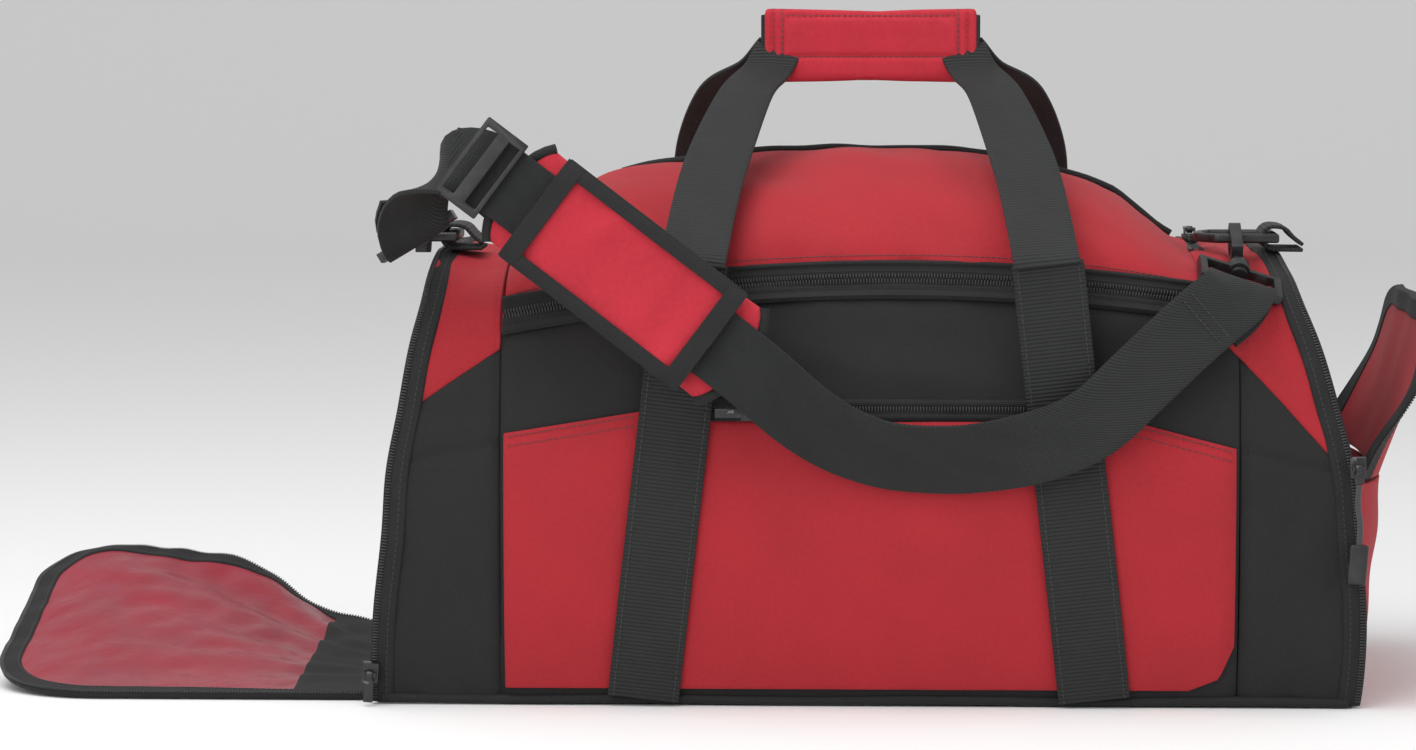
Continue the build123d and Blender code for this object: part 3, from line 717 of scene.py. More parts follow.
def coated_lining():
    """Grey-black polyester with a thin shiny coating, as inside the pockets."""
    material, shader, wire = finish("coated_lining", 0.5, Specular_IOR_Level=0.4)
    at = wire.add("TexCoord", out="UV")
    x, y, z = wire.split(at)
    weave = (x * 6000.0).sine() * (y * 6000.0).sine()
    cloud = wire.noise(at, 0.03, 4.0)
    surface_colour = (0.5 + weave * 0.15 + (cloud - 0.5)).mixed((0.012, 0.012, 0.013), (0.035, 0.035, 0.037))
    bumps = relief(wire, cloud + weave * 0.1, 0.0008)
    connect(wire, shader, Base_Color=surface_colour, Roughness=0.42 + cloud * 0.25, Normal=bumps)
    return material


LINING = coated_lining()
SIDE_ARC = arc_through((0.126, 0.0), (0.1375, 0.090), (0.131, 0.158))
SHOULDER_MID = (0.051, 0.158)
SHOULDER_R = 0.080
climb = np.linspace(0, SHOULDER_MID[1], 60)
bend = np.linspace(0, pi / 2, 50)[1:]
half_y = np.concatenate([SIDE_ARC(climb), SHOULDER_MID[0] + SHOULDER_R * np.cos(bend), [0.025, 0.0]])
half_z = np.concatenate([climb, SHOULDER_MID[1] + SHOULDER_R * np.sin(bend), [0.238, 0.238]])
RING_Y = np.concatenate([-half_y, half_y[-2::-1]])
RING_Z = np.concatenate([half_z, half_z[-2::-1]])
RING_S = np.concatenate([[0], np.cumsum(np.hypot(np.diff(RING_Y), np.diff(RING_Z)))])
RING_LONG = RING_S[-1]
RISE = len(climb) + len(bend)    # points of a side before the flat top
RIMS = {
    "left": arc_through((0.267, -0.001), (0.256, 0.130), (0.236, 0.239)),
    "right": arc_through((0.262, -0.001), (0.256, 0.130), (0.222, 0.239)),
}
SLANTS = {
    "left": ((0.190, 0.196, 0.233, 0.270), (0.191, 0.191, 0.165, 0.139)),
    "right": ((0.172, 0.196, 0.233, 0.270), (0.207, 0.187, 0.146, 0.105)),
}
CROSS_SEAMS = {"left": (0.141, 0.133), "right": (0.1385, 0.128)}
RIM_TAPE = 0.013


def height_to_s(z):
    """Way round the ring to a height on its front side."""
    return np.interp(z, half_z[:RISE], RING_S[:RISE])


def ring_point(hand, out, s, off=0.0):
    """A point on an end pocket: distance from the bag's middle, way round the ring, and lift.

    Beside the seam the section widens to meet the long wall and the lid.
    """
    y = np.interp(s, RING_S, RING_Y)
    z = np.interp(s, RING_S, RING_Z)
    dy = np.interp(s + 0.002, RING_S, RING_Y) - np.interp(s - 0.002, RING_S, RING_Y)
    dz = np.interp(s + 0.002, RING_S, RING_Z) - np.interp(s - 0.002, RING_S, RING_Z)
    size = np.hypot(dy, dz)
    square = np.clip(1 - (out - SEAM_X) / 0.045, 0, 1)
    square = square * square * (3 - 2 * square) * np.clip((0.232 - z) / 0.02, 0, 1)
    wide = np.sign(y) * wall_half(np.minimum(z, 0.222))
    y = y + (wide - y) * square
    return y + off * -dz / size, z + off * dy / size


def pocket_uneven(hand, out, s):
    """Sag and creases of the gusset: it sinks a little between seam and rim, and puckers at both."""
    seed = 41 if hand == "left" else 51
    rim = RIMS[hand](np.interp(s, RING_S, RING_Z))
    between = np.clip((out - SEAM_X) / np.maximum(rim - RIM_TAPE - SEAM_X, 0.005), 0, 1)
    sag = -0.0022 * np.sin(pi * between) * np.sin(pi * np.clip(s / RING_LONG, 0, 1)) ** 2
    soft = 0.0013 * ripples(out, s, 0.070, seed) + 0.0006 * ripples(out, s * 0.6, 0.024, seed + 1)
    seam = -SEAM_TUCK * near(out - SEAM_X, 0.0035)
    return sag + soft * (0.35 + 0.65 * np.sin(pi * between)) + seam


def gusset(hand, low, high, inner, over=0.0, under=()):
    """Rule for a gusset piece between two ways round the ring, each a rule of distance out."""
    way = -1 if hand == "left" else 1
    def place(u, v):
        share = 1 - u if hand == "left" else u
        s = v * RING_LONG
        for _ in range(4):
            rim = RIMS[hand](np.interp(s, RING_S, RING_Z))
            out = inner + share * (rim - 0.0015 - inner)
            s = low(out) + v * (high(out) - low(out))
        lift = pocket_uneven(hand, out, s) + over * np.clip((SEAM_X + 0.006 - out) / 0.006, 0, 1)
        seam_z = np.interp(out, (SEAM_X, 0.240), CROSS_SEAMS[hand])
        front_z = np.interp(s, RING_S, RING_Z)
        lift = lift - 0.0014 * near(front_z - seam_z, 0.0022)
        first = near(s - low(out), 0.0022) * (low(out) > 0.01)
        last = near(high(out) - s, 0.0022) * (high(out) < RING_LONG - 0.01)
        ends = first + last
        for edge in under:
            lift = lift - 0.0017 * near(edge(out) - s, 0.004)
        y, z = ring_point(hand, out, s, lift - 0.0012 * ends)
        return way * out, y, z
    return place


GUSSET_THICK = 0.0022
for hand in ("left", "right"):
    def slant(out, hand=hand):
        return height_to_s(np.interp(out, *SLANTS[hand]))
    def floor_front(out):
        return np.full_like(out, 0.0012)
    def slant_back(out, slant=slant):
        return RING_LONG - slant(out)
    def tucked(out, slant=slant):
        return slant(out) + 0.004
    def tucked_back(out, slant=slant):
        return RING_LONG - slant(out) - 0.004
    def floor_back(out):
        return np.full_like(out, RING_LONG - 0.0012)
    inner = SEAM_X if hand == "left" else 0.1735
    for side, low, high, under in (
        ("front", floor_front, tucked, tucked),
        ("back", tucked_back, floor_back, tucked_back),
    ):
        rule = gusset(hand, low, high, SEAM_X, 0, [under])
        lower = laid_cloth(f"{hand}_pocket_{side}", 30, 64, rule, GUSSET_THICK, BLACK_CLOTH)
        placed(lower, "bag", "black_fabric", f"{hand}_gusset_{side}")
    rule = gusset(hand, slant, slant_back, inner, 0.0016)
    over = laid_cloth(f"{hand}_pocket_top", 40, 150, rule, GUSSET_THICK, RED_CLOTH)
    placed(over, "bag", "red_fabric", f"{hand}_gusset_top")


# ---------------------------------------------------------------- rims of the end pockets
# Black tape bound round the open edge of each end pocket, with half of a nylon coil zip along
# it: the flap's own half closes on it.

for hand, way in (("left", -1), ("right", 1)):
    def rim_tape(u, v, hand=hand, way=way):
        share = 1 - u if hand == "left" else u
        s = 0.0006 + v * (RING_LONG - 0.0012)
        rim = RIMS[hand](np.interp(s, RING_S, RING_Z))
        out = rim - RIM_TAPE + share * RIM_TAPE
        roll = 0.0013 - 0.0010 * share**4 + 0.0005 * near(share - 0.30, 0.12)
        wave = 0.0009 * ripples(s, s * 0, 0.06, 61) + pocket_uneven(hand, out, s) * 0.6
        y, z = ring_point(hand, out, s, roll + wave)
        return way * (out + 0.0008 * ripples(s, s * 0, 0.05, 62)), y, z
    tape = laid_cloth(f"{hand}_rim_binding", 10, 260, rim_tape, 0.0034, ZIP_TAPE)
    placed(tape, "bag", "zip_tape", f"{hand}_rim_tape")
    v = np.linspace(0.004, 0.996, 400)
    for row, share in (("coil", 0.80), ("seam", 0.30)):
        u = np.full_like(v, 1 - share if hand == "left" else share)
        line = np.stack(rim_tape(u, v), axis=1)
        s = v * RING_LONG
        out_y = np.interp(s - 0.002, RING_S, RING_Z) - np.interp(s + 0.002, RING_S, RING_Z)
        out_z = np.interp(s + 0.002, RING_S, RING_Y) - np.interp(s - 0.002, RING_S, RING_Y)
        outs = np.stack([np.zeros_like(s), out_y, out_z], axis=1)
        if row == "coil":
            coil = beads_along(f"{hand}_rim_coil", HALF_TOOTH, line, outs, TOOTH_PITCH, NYLON, 0.0003)
            placed(coil, "bag", "zip_tape")
        else:
            sewn(f"{hand}_rim_stitch", line, outs, "bag", "zip_tape", BLACK_THREAD, lift=-0.0001)


# ---------------------------------------------------------------- base, dividers and board
# The base is coated black cloth with a piped edge. Inside it lie a stiff lined board and, at
# each seam, a divider of lining cloth that closes the end pocket off.


def piping(name, points, radius, material, body, slot, *nodes, flat=1.0):
    """A cord covered in tape, along a smooth line."""
    curve = bpy.data.curves.new(name, "CURVE")
    curve.dimensions = "3D"
    curve.bevel_depth = radius
    curve.bevel_resolution = 3
    curve.use_fill_caps = True
    spline = curve.splines.new("POLY")
    long = np.linalg.norm(np.diff(np.asarray(points), axis=0), axis=1).sum()
    line = smooth_route(points, max(12, int(long / 0.005)))
    spline.points.add(len(line) - 1)
    for point, place in zip(spline.points, line):
        point.co = (*place, 1)
    piece = bpy.data.objects.new(name, curve)
    bpy.context.scene.collection.objects.link(piece)
    only(piece)
    bpy.ops.object.convert(target="MESH")
    piece = bpy.context.object
    bpy.ops.object.mode_set(mode="EDIT")
    bpy.ops.mesh.select_all(action="SELECT")
    bpy.ops.uv.cube_project(cube_size=1.0)
    bpy.ops.mesh.normals_make_consistent(inside=False)
    bpy.ops.object.mode_set(mode="OBJECT")
    bpy.ops.object.shade_smooth_by_angle(angle=radians(50))
    piece.data.materials.append(material)
    return placed(piece, body, slot, *nodes)


base_low, base_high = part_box("base_panel")


def base_cloth(u, v):
    x = base_low.x + (base_high.x - base_low.x) * u
    y = base_high.y + (base_low.y - base_high.y) * v
    return x, y, np.full_like(x, 0.0002)


base = laid_cloth("base", 60, 30, base_cloth, 0.0022, BLACK_CLOTH)
placed(base, "bag", "black_fabric", "base_panel")
for name, side in (("front", -1), ("back", 1)):
    x = np.linspace(base_low.x + 0.004, base_high.x - 0.004, 14)
    z = 0.0030 + 0.0004 * np.sin(x * 40)
    line = np.stack([x, np.full_like(x, side * 0.1268), z], axis=1)
    piping(f"base_{name}_piping", line, 0.0026, ZIP_TAPE, "bag", "zip_tape")

DIVIDER_INSET = 0.0046
divider_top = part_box("left_divider")[1].z
for hand, way in (("left", -1), ("right", 1)):
    plane_x = way * (SEAM_X - 0.0014)
    def divider(u, v, way=way, plane_x=plane_x):
        z = 0.0055 + v * (divider_top - 0.0055)
        wide = np.interp(z, half_z[:RISE], half_y[:RISE]) - DIVIDER_INSET
        y = way * wide * (2 * u - 1)
        sag = 0.0035 * ripples(y, z, 0.16, 71) * np.sin(pi * u) * np.sin(pi * v)
        return plane_x - way * np.abs(sag), y, z
    sheet = laid_cloth(f"{hand}_divider_cloth", 40, 40, divider, 0.0016, LINING)
    placed(sheet, "bag", "black_fabric", f"{hand}_divider")


def lined_board():
    """Hard board under thin black lining."""
    material, shader, wire = finish("lined_board", 0.6)
    at = wire.add("TexCoord", out="Object")
    x, y, z = wire.split(at)
    weave = (x * 5200.0).sine() * (y * 5200.0).sine()
    cloud = wire.noise(at, 0.04, 4.0)
    surface_colour = (0.5 + weave * 0.2 + (cloud - 0.5) * 0.8).mixed((0.014, 0.014, 0.014), (0.036, 0.036, 0.037))
    connect(wire, shader, Base_Color=surface_colour, Normal=relief(wire, cloud + weave * 0.1, 0.0005))
    return material


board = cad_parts["base_board"]
board.data.materials.clear()
board.data.materials.append(lined_board())


# ---------------------------------------------------------------- right end wall
# The lower, fixed part of the right end: red polyester, sewn into the rim below the open zip,
# pushed outwards by what is in the pocket.

END_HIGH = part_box("right_end_wall")[1]
end_arc = arc_through((0.2625, 0.0025), (0.271, 0.062), (0.277, 0.119))


def end_wall(u, v):
    across = 2 * u - 1
    z = 0.0015 + v * (END_HIGH.z + 0.0006 - 0.0015)
    wide = np.interp(z, half_z[: len(climb) + len(bend)], half_y[: len(climb) + len(bend)]) - 0.0032
    rim = RIMS["right"](z) - 0.0020
    edge = np.abs(across) ** 5
    soft = (0.0012 * ripples(across * 0.12, z, 0.06, 81)) * (1 - edge)
    x = end_arc(z) * (1 - edge) + rim * edge + soft
    return x, across * wide, z


end = laid_cloth("right_end_cloth", 70, 40, end_wall, 0.0020, RED_CLOTH)
placed(end, "bag", "red_fabric", "right_end_wall")


# ---------------------------------------------------------------- main zip
# A heavy nylon coil zip round the top: one tape on the walls, the other on the lid. Each tape is
# folded outwards where it is sewn, which leaves a raised edge on both sides of the coil.

LID_TAPE = 0.0084
ZIP_RIGHT_X = 0.172
zip_x = np.linspace(-SEAM_X + 0.001, ZIP_RIGHT_X, 160)


def zip_tape_rule(side, upper):
    def place(u, v):
        long = (zip_x[-1] - zip_x[0]) * u
        x = zip_x[0] + long if side < 0 else zip_x[-1] - long
        near_edge, far_edge = (0.0004, LID_TAPE + 0.0012) if upper else (-ZIP_BELOW - 0.0014, -0.0004)
        off = near_edge + v * (far_edge - near_edge)
        z = zip_height(x) + off
        fold = 0.0020 * near(np.abs(off) - 0.0085, 0.0016) + 0.0006 * near(np.abs(off) - 0.0042, 0.0012)
        depth = wall_half(z) + 0.0003 + fold + 0.0005 * ripples(x, off, 0.06, 91)
        return x, side * depth, z
    return place


LID_FOLD = ((-0.1935, 0, 0.243), (-0.140, 0, 0.243))
for name, side in (("front", -1), ("back", 1)):
    lower = laid_cloth(f"main_zip_{name}_lower_tape", 150, 14, zip_tape_rule(side, False), 0.0012, ZIP_TAPE)
    upper = laid_cloth(f"main_zip_{name}_upper_tape", 150, 14, zip_tape_rule(side, True), 0.0012, ZIP_TAPE)
    placed(lower, "bag", "zip_tape", "main_zip_body_tape")
    placed(upper, "lid", "zip_tape", "main_zip_lid_tape", across=LID_FOLD)
    for part, drop, body in (("lower", -0.0013, "bag"), ("upper", 0.0013, "lid")):
        z = zip_height(zip_x) + drop
        line = np.stack([zip_x, side * (wall_half(z) + 0.0008), z], axis=1)
        shift = TOOTH_PITCH / 2 if part == "upper" else 0.0
        line[:, 0] += shift
        fold = LID_FOLD if body == "lid" else None
        zip_row(f"main_zip_{name}_{part}_coil", line, (0, side, 0), body, 0.0, fold)

END_TAPE_X = (0.1726, 0.1815)
y = np.linspace(-0.060, 0.060, 40)


def end_tape(u, v):
    x = END_TAPE_X[0] + (END_TAPE_X[1] - END_TAPE_X[0]) * u
    across = -0.060 + 0.120 * v
    return x, across, 0.2398 + 0.0007 * near(u - 0.85, 0.15)


turn_tape = laid_cloth("main_zip_end_tape", 8, 50, end_tape, 0.0010, ZIP_TAPE)
placed(turn_tape, "bag", "zip_tape")
line = np.stack([np.full_like(y, 0.1742), y, np.full_like(y, 0.2404)], axis=1)
zip_row("main_zip_end_coil", line, (0, 0, 1), "bag")


# ---------------------------------------------------------------- lid
# One domed panel of red polyester over the main compartment, higher in the middle where the bag
# is full, gathered a little where it is sewn to the zip and to the left seam.

LID_STATIONS = [
    (-0.1935, 0.2400),
    (-0.184, 0.2520),
    (-0.168, 0.2645),
    (-0.144, 0.2780),
    (-0.100, 0.2870),
    (0.0, 0.2920),
    (0.060, 0.2910),
    (0.106, 0.2810),
    (0.133, 0.2690),
    (0.152, 0.2550),
    (0.166, 0.2440),
    (0.1735, 0.2415),
]
crest_line = smooth_route([(x, z, 0.0) for x, z in LID_STATIONS], 300)


def lid_point(x, angle):
    """A point on the lid from the length of the bag and the angle over it, with its creases."""
    foot = zip_height(x) + LID_TAPE - 0.0006
    crest = np.interp(x, crest_line[:, 0], crest_line[:, 1])
    around = np.sin(angle)
    half = wall_half(foot) + 0.0002
    ends = np.clip((x + 0.1935) / 0.05, 0, 1) * np.clip((0.1735 - x) / 0.05, 0, 1)
    gathers = 0.0009 * ripples(x, angle * 0.02, 0.020, 101) * near(around, 0.35)
    soft = 0.0022 * ripples(x, angle * 0.09, 0.110, 102) * around
    soft = soft + 0.0008 * ripples(x, angle * 0.09, 0.036, 103)
    drawn = 0.0016 * ripples(x + angle * 0.02, angle * 0.01, 0.022, 104) * (1 - ends) * around
    swell = gathers + (soft * ends + drawn)
    y = -np.cos(angle) * (half + swell)
    z = foot + (crest - foot) * np.abs(around) ** 1.12 + swell * around
    return y, z


def lid_rule(u, v):
    x = -0.1935 + u * (0.1735 + 0.1935)
    y, z = lid_point(x, pi * v)
    return x, y, z


lid = laid_cloth("lid_cloth", 130, 130, lid_rule, 0.0022, RED_CLOTH)
placed(lid, "lid", "red_fabric", "lid_panel", across=LID_FOLD)

# The black piped seam where the lid's back third is joined on
BACK_SEAM_ANGLE = 1.83
x = np.linspace(-0.139, 0.168, 40)
y, z = lid_point(x, np.full_like(x, BACK_SEAM_ANGLE))
piping("lid_back_piping", np.stack([x, y, z + 0.0016], axis=1), 0.0022, ZIP_TAPE, "lid", "zip_tape")
for row, angle in enumerate((0.10, pi - 0.10)):
    x = np.linspace(-0.188, 0.168, 120)
    y, z = lid_point(x, np.full_like(x, angle))
    line = np.stack([x, y, z], axis=1)
    outs = facing(line, (0, np.sign(y[60]), 0.25))
    sewn(f"lid_edge_stitch_{row + 1}", line, outs, "lid", "red_fabric", BLACK_THREAD, across=LID_FOLD)


# ---------------------------------------------------------------- right end flap
# The upper half of the right end folds out of the open zip. It is red polyester with black tape
# bound over its edge, which carries the other half of the zip's teeth.

FLAP_FOOT = (0.2771, 0.1210)
end_flap_arc = arc_through((0.2771, 0.121), (0.291, 0.165), (0.300, 0.214))
FLAP_TOP_Z = 0.214
FLAP_FOLD = ((0.2771, 0, 0.122), (0.2840, 0, 0.143))
FLAP_HALF_WIDE = 0.121
FLAP_CORNER = 0.060
FLAP_EDGE = 0.012


def flap_half(z, inset=0.0):
    """Half width of the end flap at a height: square below, rounded at its upper corners."""
    radius = FLAP_CORNER - inset
    above = np.clip(z - (FLAP_TOP_Z - FLAP_CORNER), 0, radius)
    return FLAP_HALF_WIDE - FLAP_CORNER + np.sqrt(np.maximum(radius**2 - above**2, 0))


def flap_spot(y, z, lift=0.0):
    """Its lower corners curve in to the rim, where the zip that opens it starts."""
    soft = 0.0010 * ripples(y, z, 0.07, 111) * np.clip((z - FLAP_FOOT[1]) / 0.02, 0, 1)
    low = np.clip(1 - (z - FLAP_FOOT[1]) / 0.060, 0, 1)
    corner = 0.0165 * np.abs(y / FLAP_HALF_WIDE) ** 5 * low * low * (3 - 2 * low)
    return end_flap_arc(z) - 0.0003 - corner + soft + lift, y, z - 0.12 * lift


def end_flap_rule(u, v):
    top = FLAP_TOP_Z - FLAP_EDGE + 0.001
    z = FLAP_FOOT[1] + (1 - (1 - v) ** 1.5) * (top - FLAP_FOOT[1])
    return flap_spot((2 * u - 1) * np.maximum(flap_half(z, FLAP_EDGE - 0.001), 0.002), z)


end_flap = laid_cloth("end_flap_cloth", 60, 40, end_flap_rule, 0.0024, RED_CLOTH)
placed(end_flap, "end_flap", "red_fabric", "end_flap_panel", across=FLAP_FOLD)

edge_up = np.linspace(FLAP_FOOT[1], FLAP_TOP_Z - FLAP_CORNER, 12)
edge_turn = np.linspace(0, pi / 2, 26)[1:]
corner_y = FLAP_HALF_WIDE - FLAP_CORNER * (1 - np.cos(edge_turn))
edge_y = np.concatenate([np.full(12, FLAP_HALF_WIDE), corner_y])
edge_z = np.concatenate([edge_up, FLAP_TOP_Z - FLAP_CORNER + FLAP_CORNER * np.sin(edge_turn)])
edge_y = np.concatenate([-edge_y, edge_y[::-1]])
edge_z = np.concatenate([edge_z, edge_z[::-1]])
edge_run = np.concatenate([[0], np.cumsum(np.hypot(np.diff(edge_y), np.diff(edge_z)))])


def end_tape_rule(u, v):
    """The bound edge: v runs inwards from the edge, u round it."""
    at = u * edge_run[-1]
    y = np.interp(at, edge_run, edge_y)
    z = np.interp(at, edge_run, edge_z)
    from_corner = y - np.sign(y) * (FLAP_HALF_WIDE - FLAP_CORNER)
    inward_y = np.where(z > FLAP_TOP_Z - FLAP_CORNER, -from_corner, -np.sign(y))
    inward_z = np.where(z > FLAP_TOP_Z - FLAP_CORNER, -(z - FLAP_TOP_Z + FLAP_CORNER), 0)
    flat_top = (z > FLAP_TOP_Z - 0.0005) & (np.abs(y) < FLAP_HALF_WIDE - FLAP_CORNER)
    inward_y = np.where(flat_top, 0, inward_y)
    inward_z = np.where(flat_top, -1, inward_z)
    size = np.hypot(inward_y, inward_z)
    across = (1 - v) * FLAP_EDGE
    y = y + inward_y / size * across
    z = z + inward_z / size * across
    return flap_spot(y, z, 0.0008 - 0.0008 * near(v - 1, 0.1) + 0.0003 * near(v - 0.3, 0.1))


flap_tape = laid_cloth("end_flap_binding", 190, 8, end_tape_rule, 0.0040, ZIP_TAPE)
placed(flap_tape, "end_flap", "zip_tape", "end_flap_tape", across=FLAP_FOLD)
u = np.linspace(0.004, 0.996, 300)
for row, share in (("coil", 0.88), ("stitch", 0.18)):
    line = np.stack(end_tape_rule(u, np.full_like(u, share)), axis=1)
    outs = (1, 0, -0.12)
    if row == "coil":
        row_of_teeth = beads_along("end_flap_coil", HALF_TOOTH, line, outs, TOOTH_PITCH, NYLON, 0.0002)
        placed(row_of_teeth, "end_flap", "zip_tape", across=FLAP_FOLD)
    else:
        sewn("end_flap_stitch", line, outs, "end_flap", "zip_tape", BLACK_THREAD, across=FLAP_FOLD)


# ---------------------------------------------------------------- handles
# Two carrying handles of 35 mm webbing. Each rises from the fold at the zip, leans over the lid
# and runs through a padded red wrap; the two wraps close on each other.


def padded_cloth(name, low, high):
    """Red polyester over foam: soft weave with faint wrinkles pressed into it."""
    material, shader, wire = finish(name, 0.74, Sheen_Weight=0.05, Specular_IOR_Level=0.25)
    at = wire.add("TexCoord", out="Object")
    x, y, z = wire.split(at)
    weave = ((x - z) * 5400.0).sine() * ((x + z) * 5400.0 + y * 2600.0).sine()
    slub = wire.noise(at, 0.0025, 3.0)
    worn = wire.noise(at, 0.035, 4.0)
    crease = wire.noise(at, 0.016, 5.0)
    factor = 0.5 + weave * 0.14 + (slub - 0.5) * 0.5 + (worn - 0.5) * 0.8
    height = weave * 0.15 + slub * 0.25 + crease * 1.1
    connect(wire, shader, Base_Color=factor.mixed(low, high), Roughness=0.68 + worn * 0.16)
    connect(wire, shader, Normal=relief(wire, height, 0.0008, 0.6))
    return material


PAD_CLOTH = padded_cloth("red_padding", (0.36, 0.015, 0.027), (0.58, 0.031, 0.052))
HANDLE_LINES = {
    "front": (
        (0.0929, 0.1553, 0.2365),
        (0.0918, 0.1490, 0.2440),
        (0.0840, 0.0920, 0.2830),
        (0.0690, 0.0340, 0.3220),
        (0.0570, 0.0120, 0.3360),
        (0.0510, 0.0054, 0.3470),
    ),
    "back": (
        (0.0929, 0.1553, 0.2365),
        (0.0945, 0.1490, 0.2440),
        (0.0950, 0.0920, 0.2830),
        (0.0820, 0.0340, 0.3220),
        (0.0610, 0.0120, 0.3360),
        (0.0510, 0.0054, 0.3470),
    ),
}
GRIP_HALF = 0.060
GRIP_MID_Z = 0.3495
GRIP_RISE = 0.0215
GRIP_Y = 0.0045


def swollen(piece, pressure, cap, voxel=0.0045, levels=1):
    """Puff a closed cloth form with Blender's Cloth under pressure, and keep it within a cap."""
    only(piece)
    remesh = piece.modifiers.new("remesh", "REMESH")
    remesh.mode = "VOXEL"
    remesh.voxel_size = voxel
    apply_all(piece)
    count = len(piece.data.vertices)
    before = np.zeros(count * 3)
    piece.data.vertices.foreach_get("co", before)
    cloth = piece.modifiers.new("cloth", "CLOTH")
    cloth.settings.use_pressure = True
    cloth.settings.uniform_pressure_force = pressure
    cloth.settings.effector_weights.gravity = 0
    cloth.settings.quality = 5
    for frame_number in range(1, 21):
        bpy.context.scene.frame_set(frame_number)
    apply_all(piece)
    bpy.context.scene.frame_set(1)
    after = np.zeros(count * 3)
    piece.data.vertices.foreach_get("co", after)
    move = (after - before).reshape(-1, 3)
    size = np.linalg.norm(move, axis=1)[:, None]
    move *= np.minimum(1, cap / np.maximum(size, 1e-9))
    piece.data.vertices.foreach_set("co", (before.reshape(-1, 3) + move).ravel())
    smooth = piece.modifiers.new("soften", "SMOOTH")
    smooth.iterations = 3
    finer = piece.modifiers.new("finer", "SUBSURF")
    finer.levels = levels
    finer.render_levels = levels
    apply_all(piece)
    bpy.ops.object.shade_smooth()
    return piece


def pressed(piece, lines):
    """Press sewn channels into a padded form: each rule gives how far every point moves."""
    count = len(piece.data.vertices)
    spots = np.zeros(count * 3)
    piece.data.vertices.foreach_get("co", spots)
    spots = spots.reshape(-1, 3)
    for rule in lines:
        spots = spots + rule(spots)
    piece.data.vertices.foreach_set("co", spots.ravel())
    piece.data.update()


def soft_block(name, low, high):
    """A closed block with rounded edges to start a padded form from."""
    bpy.ops.object.select_all(action="DESELECT")
    bpy.ops.mesh.primitive_cube_add(size=1)
    piece = bpy.context.object
    piece.name = piece.data.name = name
    low, high = Vector(low), Vector(high)
    bpy.ops.object.mode_set(mode="EDIT")
    bpy.ops.mesh.select_all(action="SELECT")
    bpy.ops.transform.resize(value=tuple(high - low), center_override=(0, 0, 0))
    bpy.ops.transform.translate(value=tuple((low + high) / 2))
    bpy.ops.object.mode_set(mode="OBJECT")
    bevel = piece.modifiers.new("round", "BEVEL")
    bevel.width = 0.0018
    bevel.segments = 2
    apply_all(piece)
    return piece


def gathered(u):
    """The webbing is folded narrower where it goes up into the padded wrap."""
    return WEB - 0.003 - 0.009 * np.clip((u - 0.45) / 0.5, 0, 1) ** 1.5


for name, side in (("front", -1), ("back", 1)):
    for hand, way in (("left", -1), ("right", 1)):
        stations = [((way * x, side * y, z), (-side, 0, 0)) for x, y, z in HANDLE_LINES[name]]
        leg = strip(f"{name}_handle_{hand}_leg", stations, gathered, WEB_THICK, WEBBING)
        fold = ((0, side * 0.1545, 0.2395), (0, side * 0.1390, 0.2510))
        placed(leg, f"{name}_handle", "webbing", f"{name}_handle_webbing", across=fold)
    middle_y = side * GRIP_Y
    stations = [((x0 * -side, middle_y, GRIP_MID_Z), (0, 0, 1)) for x0 in (0.0605, 0.03, -0.03, -0.0605)]
    bar = strip(f"{name}_handle_bar", stations, 0.0340, WEB_THICK, WEBBING)
    placed(bar, f"{name}_handle", "webbing")
    grip = soft_block(
        f"{name}_grip_pad",
        (-GRIP_HALF + 0.001, middle_y - 0.0028, GRIP_MID_Z - GRIP_RISE + 0.001),
        (GRIP_HALF - 0.001, middle_y + 0.0028, GRIP_MID_Z + GRIP_RISE - 0.001),
    )
    swollen(grip, 3.0, 0.0014, 0.0016)

    def channels(spots, middle_y=middle_y):
        outward = np.sign(spots[:, 1] - middle_y)
        out = np.abs(spots[:, 0])
        depth = 0.0011 * (near(out - 0.0535, 0.0016) + near(out - 0.0485, 0.0016))
        up = spots[:, 2] - GRIP_MID_Z
        rows = near(up + 0.0060, 0.0015) + near(up - 0.0165, 0.0015)
        depth = depth + 0.0009 * rows * (out < 0.047)
        move = np.zeros_like(spots)
        move[:, 1] = -outward * depth
        return move

    def kept_in(spots, side=side, middle_y=middle_y):
        """Two grips share the room between them, so each stays on its own side."""
        move = np.zeros_like(spots)
        inner = side * spots[:, 1]
        move[:, 1] = side * (np.maximum(inner, 0.0006) - inner)
        move[:, 2] = np.minimum(spots[:, 2], 0.3712) - spots[:, 2]
        return move

    pressed(grip, [channels, kept_in])
    grip.data.materials.append(PAD_CLOTH)
    placed(grip, f"{name}_handle", "red_fabric", f"{name}_grip")
    face_y = middle_y + side * 0.0037
    for number, x in enumerate((-0.0535, -0.0485, 0.0485, 0.0535)):
        z = np.linspace(GRIP_MID_Z - 0.0195, GRIP_MID_Z + 0.0195, 12)
        line = np.stack([np.full_like(z, x), np.full_like(z, face_y - side * 0.0004), z], axis=1)
        stitch = f"{name}_grip_end_stitch_{number + 1}"
        sewn(stitch, line, (0, side, 0), f"{name}_handle", "black_fabric", BLACK_THREAD)
    for number, up in enumerate((-0.0060, 0.0165)):
        x = np.linspace(-0.0475, 0.0475, 30)
        y, z = np.full_like(x, face_y - side * 0.0004), np.full_like(x, GRIP_MID_Z + up)
        line = np.stack([x, y, z], axis=1)
        stitch = f"{name}_grip_stitch_{number + 1}"
        sewn(stitch, line, (0, side, 0), f"{name}_handle", "red_fabric", BLACK_THREAD)


# ---------------------------------------------------------------- left end flap
# The whole left end folds down onto the floor. It is glossy red vinyl bound in black tape, and it
# lies on its front edge while the far edge stays curled up.


